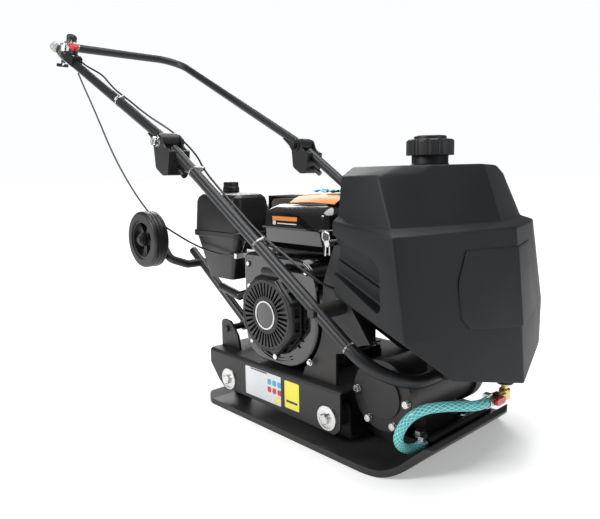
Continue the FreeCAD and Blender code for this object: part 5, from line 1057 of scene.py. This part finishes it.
FUEL_LOWER = ((-122, 68, -102, 68, 377, 20), (-130, 75, -111, 76, 381, 22),
              (-136, 80, -118, 82, 392, 24), (-139, 82, -121, 84, 424, 26))
FUEL_SEAM = ((-144, 87, -126, 89, 423.2, 28), (-145, 88, -127, 90, 424, 29),
             (-145, 88, -127, 90, 427, 29), (-144, 87, -126, 89, 427.8, 28))
FUEL_UPPER = ((-139, 82, -121, 84, 426, 25), (-136.5, 80.5, -119, 82, 452, 24),
              (-135, 79.5, -117.5, 80, 457, 23), (-131.5, 77, -114, 76, 461, 21),
              (-112, 62, -94, 58, 472.4, 15), (-108, 59, -90, 55, 474.2, 13),
              (-100, 52, -82, 48, 475, 9))
AIR_BASE = ((-316, -221, -140, -59, 291, 10), (-352, -184, -154, -50, 394, 16))
AIR_RIM = ((-358, -178, -158, -45, 393, 19), (-360, -176, -160, -43, 395, 20),
           (-360, -176, -160, -43, 406, 20), (-358.5, -177.5, -158.5, -44.5, 407.6, 19))
AIR_LID = ((-356, -180, -156, -47, 406, 18), (-356, -180, -156, -47, 410, 18),
           (-353, -183, -153, -50, 478, 19), (-349.5, -186, -150, -53, 488, 19),
           (-342, -192, -143, -60, 494.6, 17), (-331, -201, -132, -71, 497.6, 13),
           (-318, -214, -119, -84, 498.4, 9))
AIR_KNOB = Vector((-0.291, -0.084, 0.498))


def make_shells():
    """The pressed fuel tank with its seam and chamfered top, and the moulded air cleaner."""
    bm = bmesh.new()
    for levels in (FUEL_LOWER, FUEL_SEAM, FUEL_UPPER):
        stacked(bm, levels)
    lathe(bm, [(0.0190, 0.483), (0.0202, 0.4835), (0.0210, 0.4826), (0.0210, 0.4765), (0.0235, 0.4745),
               (0.0235, 0.4700), (0.0190, 0.4700), (0.0190, 0.483)], Matrix.Identity(4), 40)
    finished(bm, "fuel_tank_shell", "engine_gloss", "root", ("fuel_tank",), smooth=24.0)
    bm = bmesh.new()
    for levels in (AIR_BASE, AIR_RIM, AIR_LID):
        stacked(bm, levels)
    lathe(bm, [(0.0, 0.0265), (0.0150, 0.0265), (0.0178, 0.0255), (0.0188, 0.0230), (0.0188, 0.0140),
               (0.0200, 0.0128), (0.0206, 0.0100), (0.0206, 0.0015), (0.0190, -0.0010), (0.0, -0.0010)],
          Matrix.Translation(AIR_KNOB), 36)
    finished(bm, "air_cleaner_shell", "engine_plastic", "root",
             ("air_cleaner_base", "air_cleaner_cover"), smooth=24.0)


def make_bolt_heads():
    bm = bmesh.new()
    for side in (-1, 1):
        for x in MOUNTS:
            hex_head(bm, (x, side * 0.179, MOUNT_Z), Y * side, 0.0198, 0.0090, 0.0254, 0.0034)
        hex_head(bm, (PIVOT.x, side * 0.250, PIVOT.z), Y * side, 0.0198, 0.0090, 0.0144, 0.0028)
    for k in range(6):
        turn = math.tau * k / 6
        x, z = EXCITER.x + EX_CIRCLE * math.cos(turn), EXCITER.z + EX_CIRCLE * math.sin(turn)
        hex_head(bm, (x, EX_NEAR_FACE, z), -Y, 0.0134, 0.0060, 0.0078, 0.0022, turn)
        hex_head(bm, (x, EX_FAR_FACE, z), Y, 0.0134, 0.0060, 0.0078, 0.0022, turn)
    finished(bm, "bolt_heads", "zinc", "root", smooth=28.0)


make_shells()
make_bolt_heads()
make_ties()
make_labels()
make_tag()
make_wrap()
make_controls()
make_engine_trim()

# ------------------------------------------------------------ floor and close

FLOOR_HALF = 40.0
FLOOR_GLOW_NEAR, FLOOR_GLOW_FAR = 0.30, 0.97
FLOOR_GLOW_REACH = (0.5, 4.5)


def make_floor():
    bm = bmesh.new()
    bmesh.ops.create_grid(bm, x_segments=1, y_segments=1, size=FLOOR_HALF)
    mesh = bpy.data.meshes.new("floor")
    bm.to_mesh(mesh)
    bm.free()
    material = bpy.data.materials.new("pale_floor")
    material.use_nodes = True
    tree = material.node_tree
    shader = tree.nodes["Principled BSDF"]
    place = lay(tree, "ShaderNodeTexCoord").outputs["Object"]
    away = lay(tree, "ShaderNodeVectorMath", {0: place}, operation="LENGTH").outputs["Value"]
    glow = ramped(tree, away, *FLOOR_GLOW_REACH, FLOOR_GLOW_NEAR, FLOOR_GLOW_FAR)
    tree.links.new(glow, shader.inputs["Emission Strength"])
    shader.inputs["Emission Color"].default_value = (1, 1, 1, 1)
    shader.inputs["Base Color"].default_value = (0.9, 0.9, 0.9, 1)
    shader.inputs["Roughness"].default_value = 0.8
    shader.inputs["Specular IOR Level"].default_value = 0.0
    mesh.materials.append(material)
    floor = bpy.data.objects.new("floor", mesh)
    scene.collection.objects.link(floor)


make_floor()
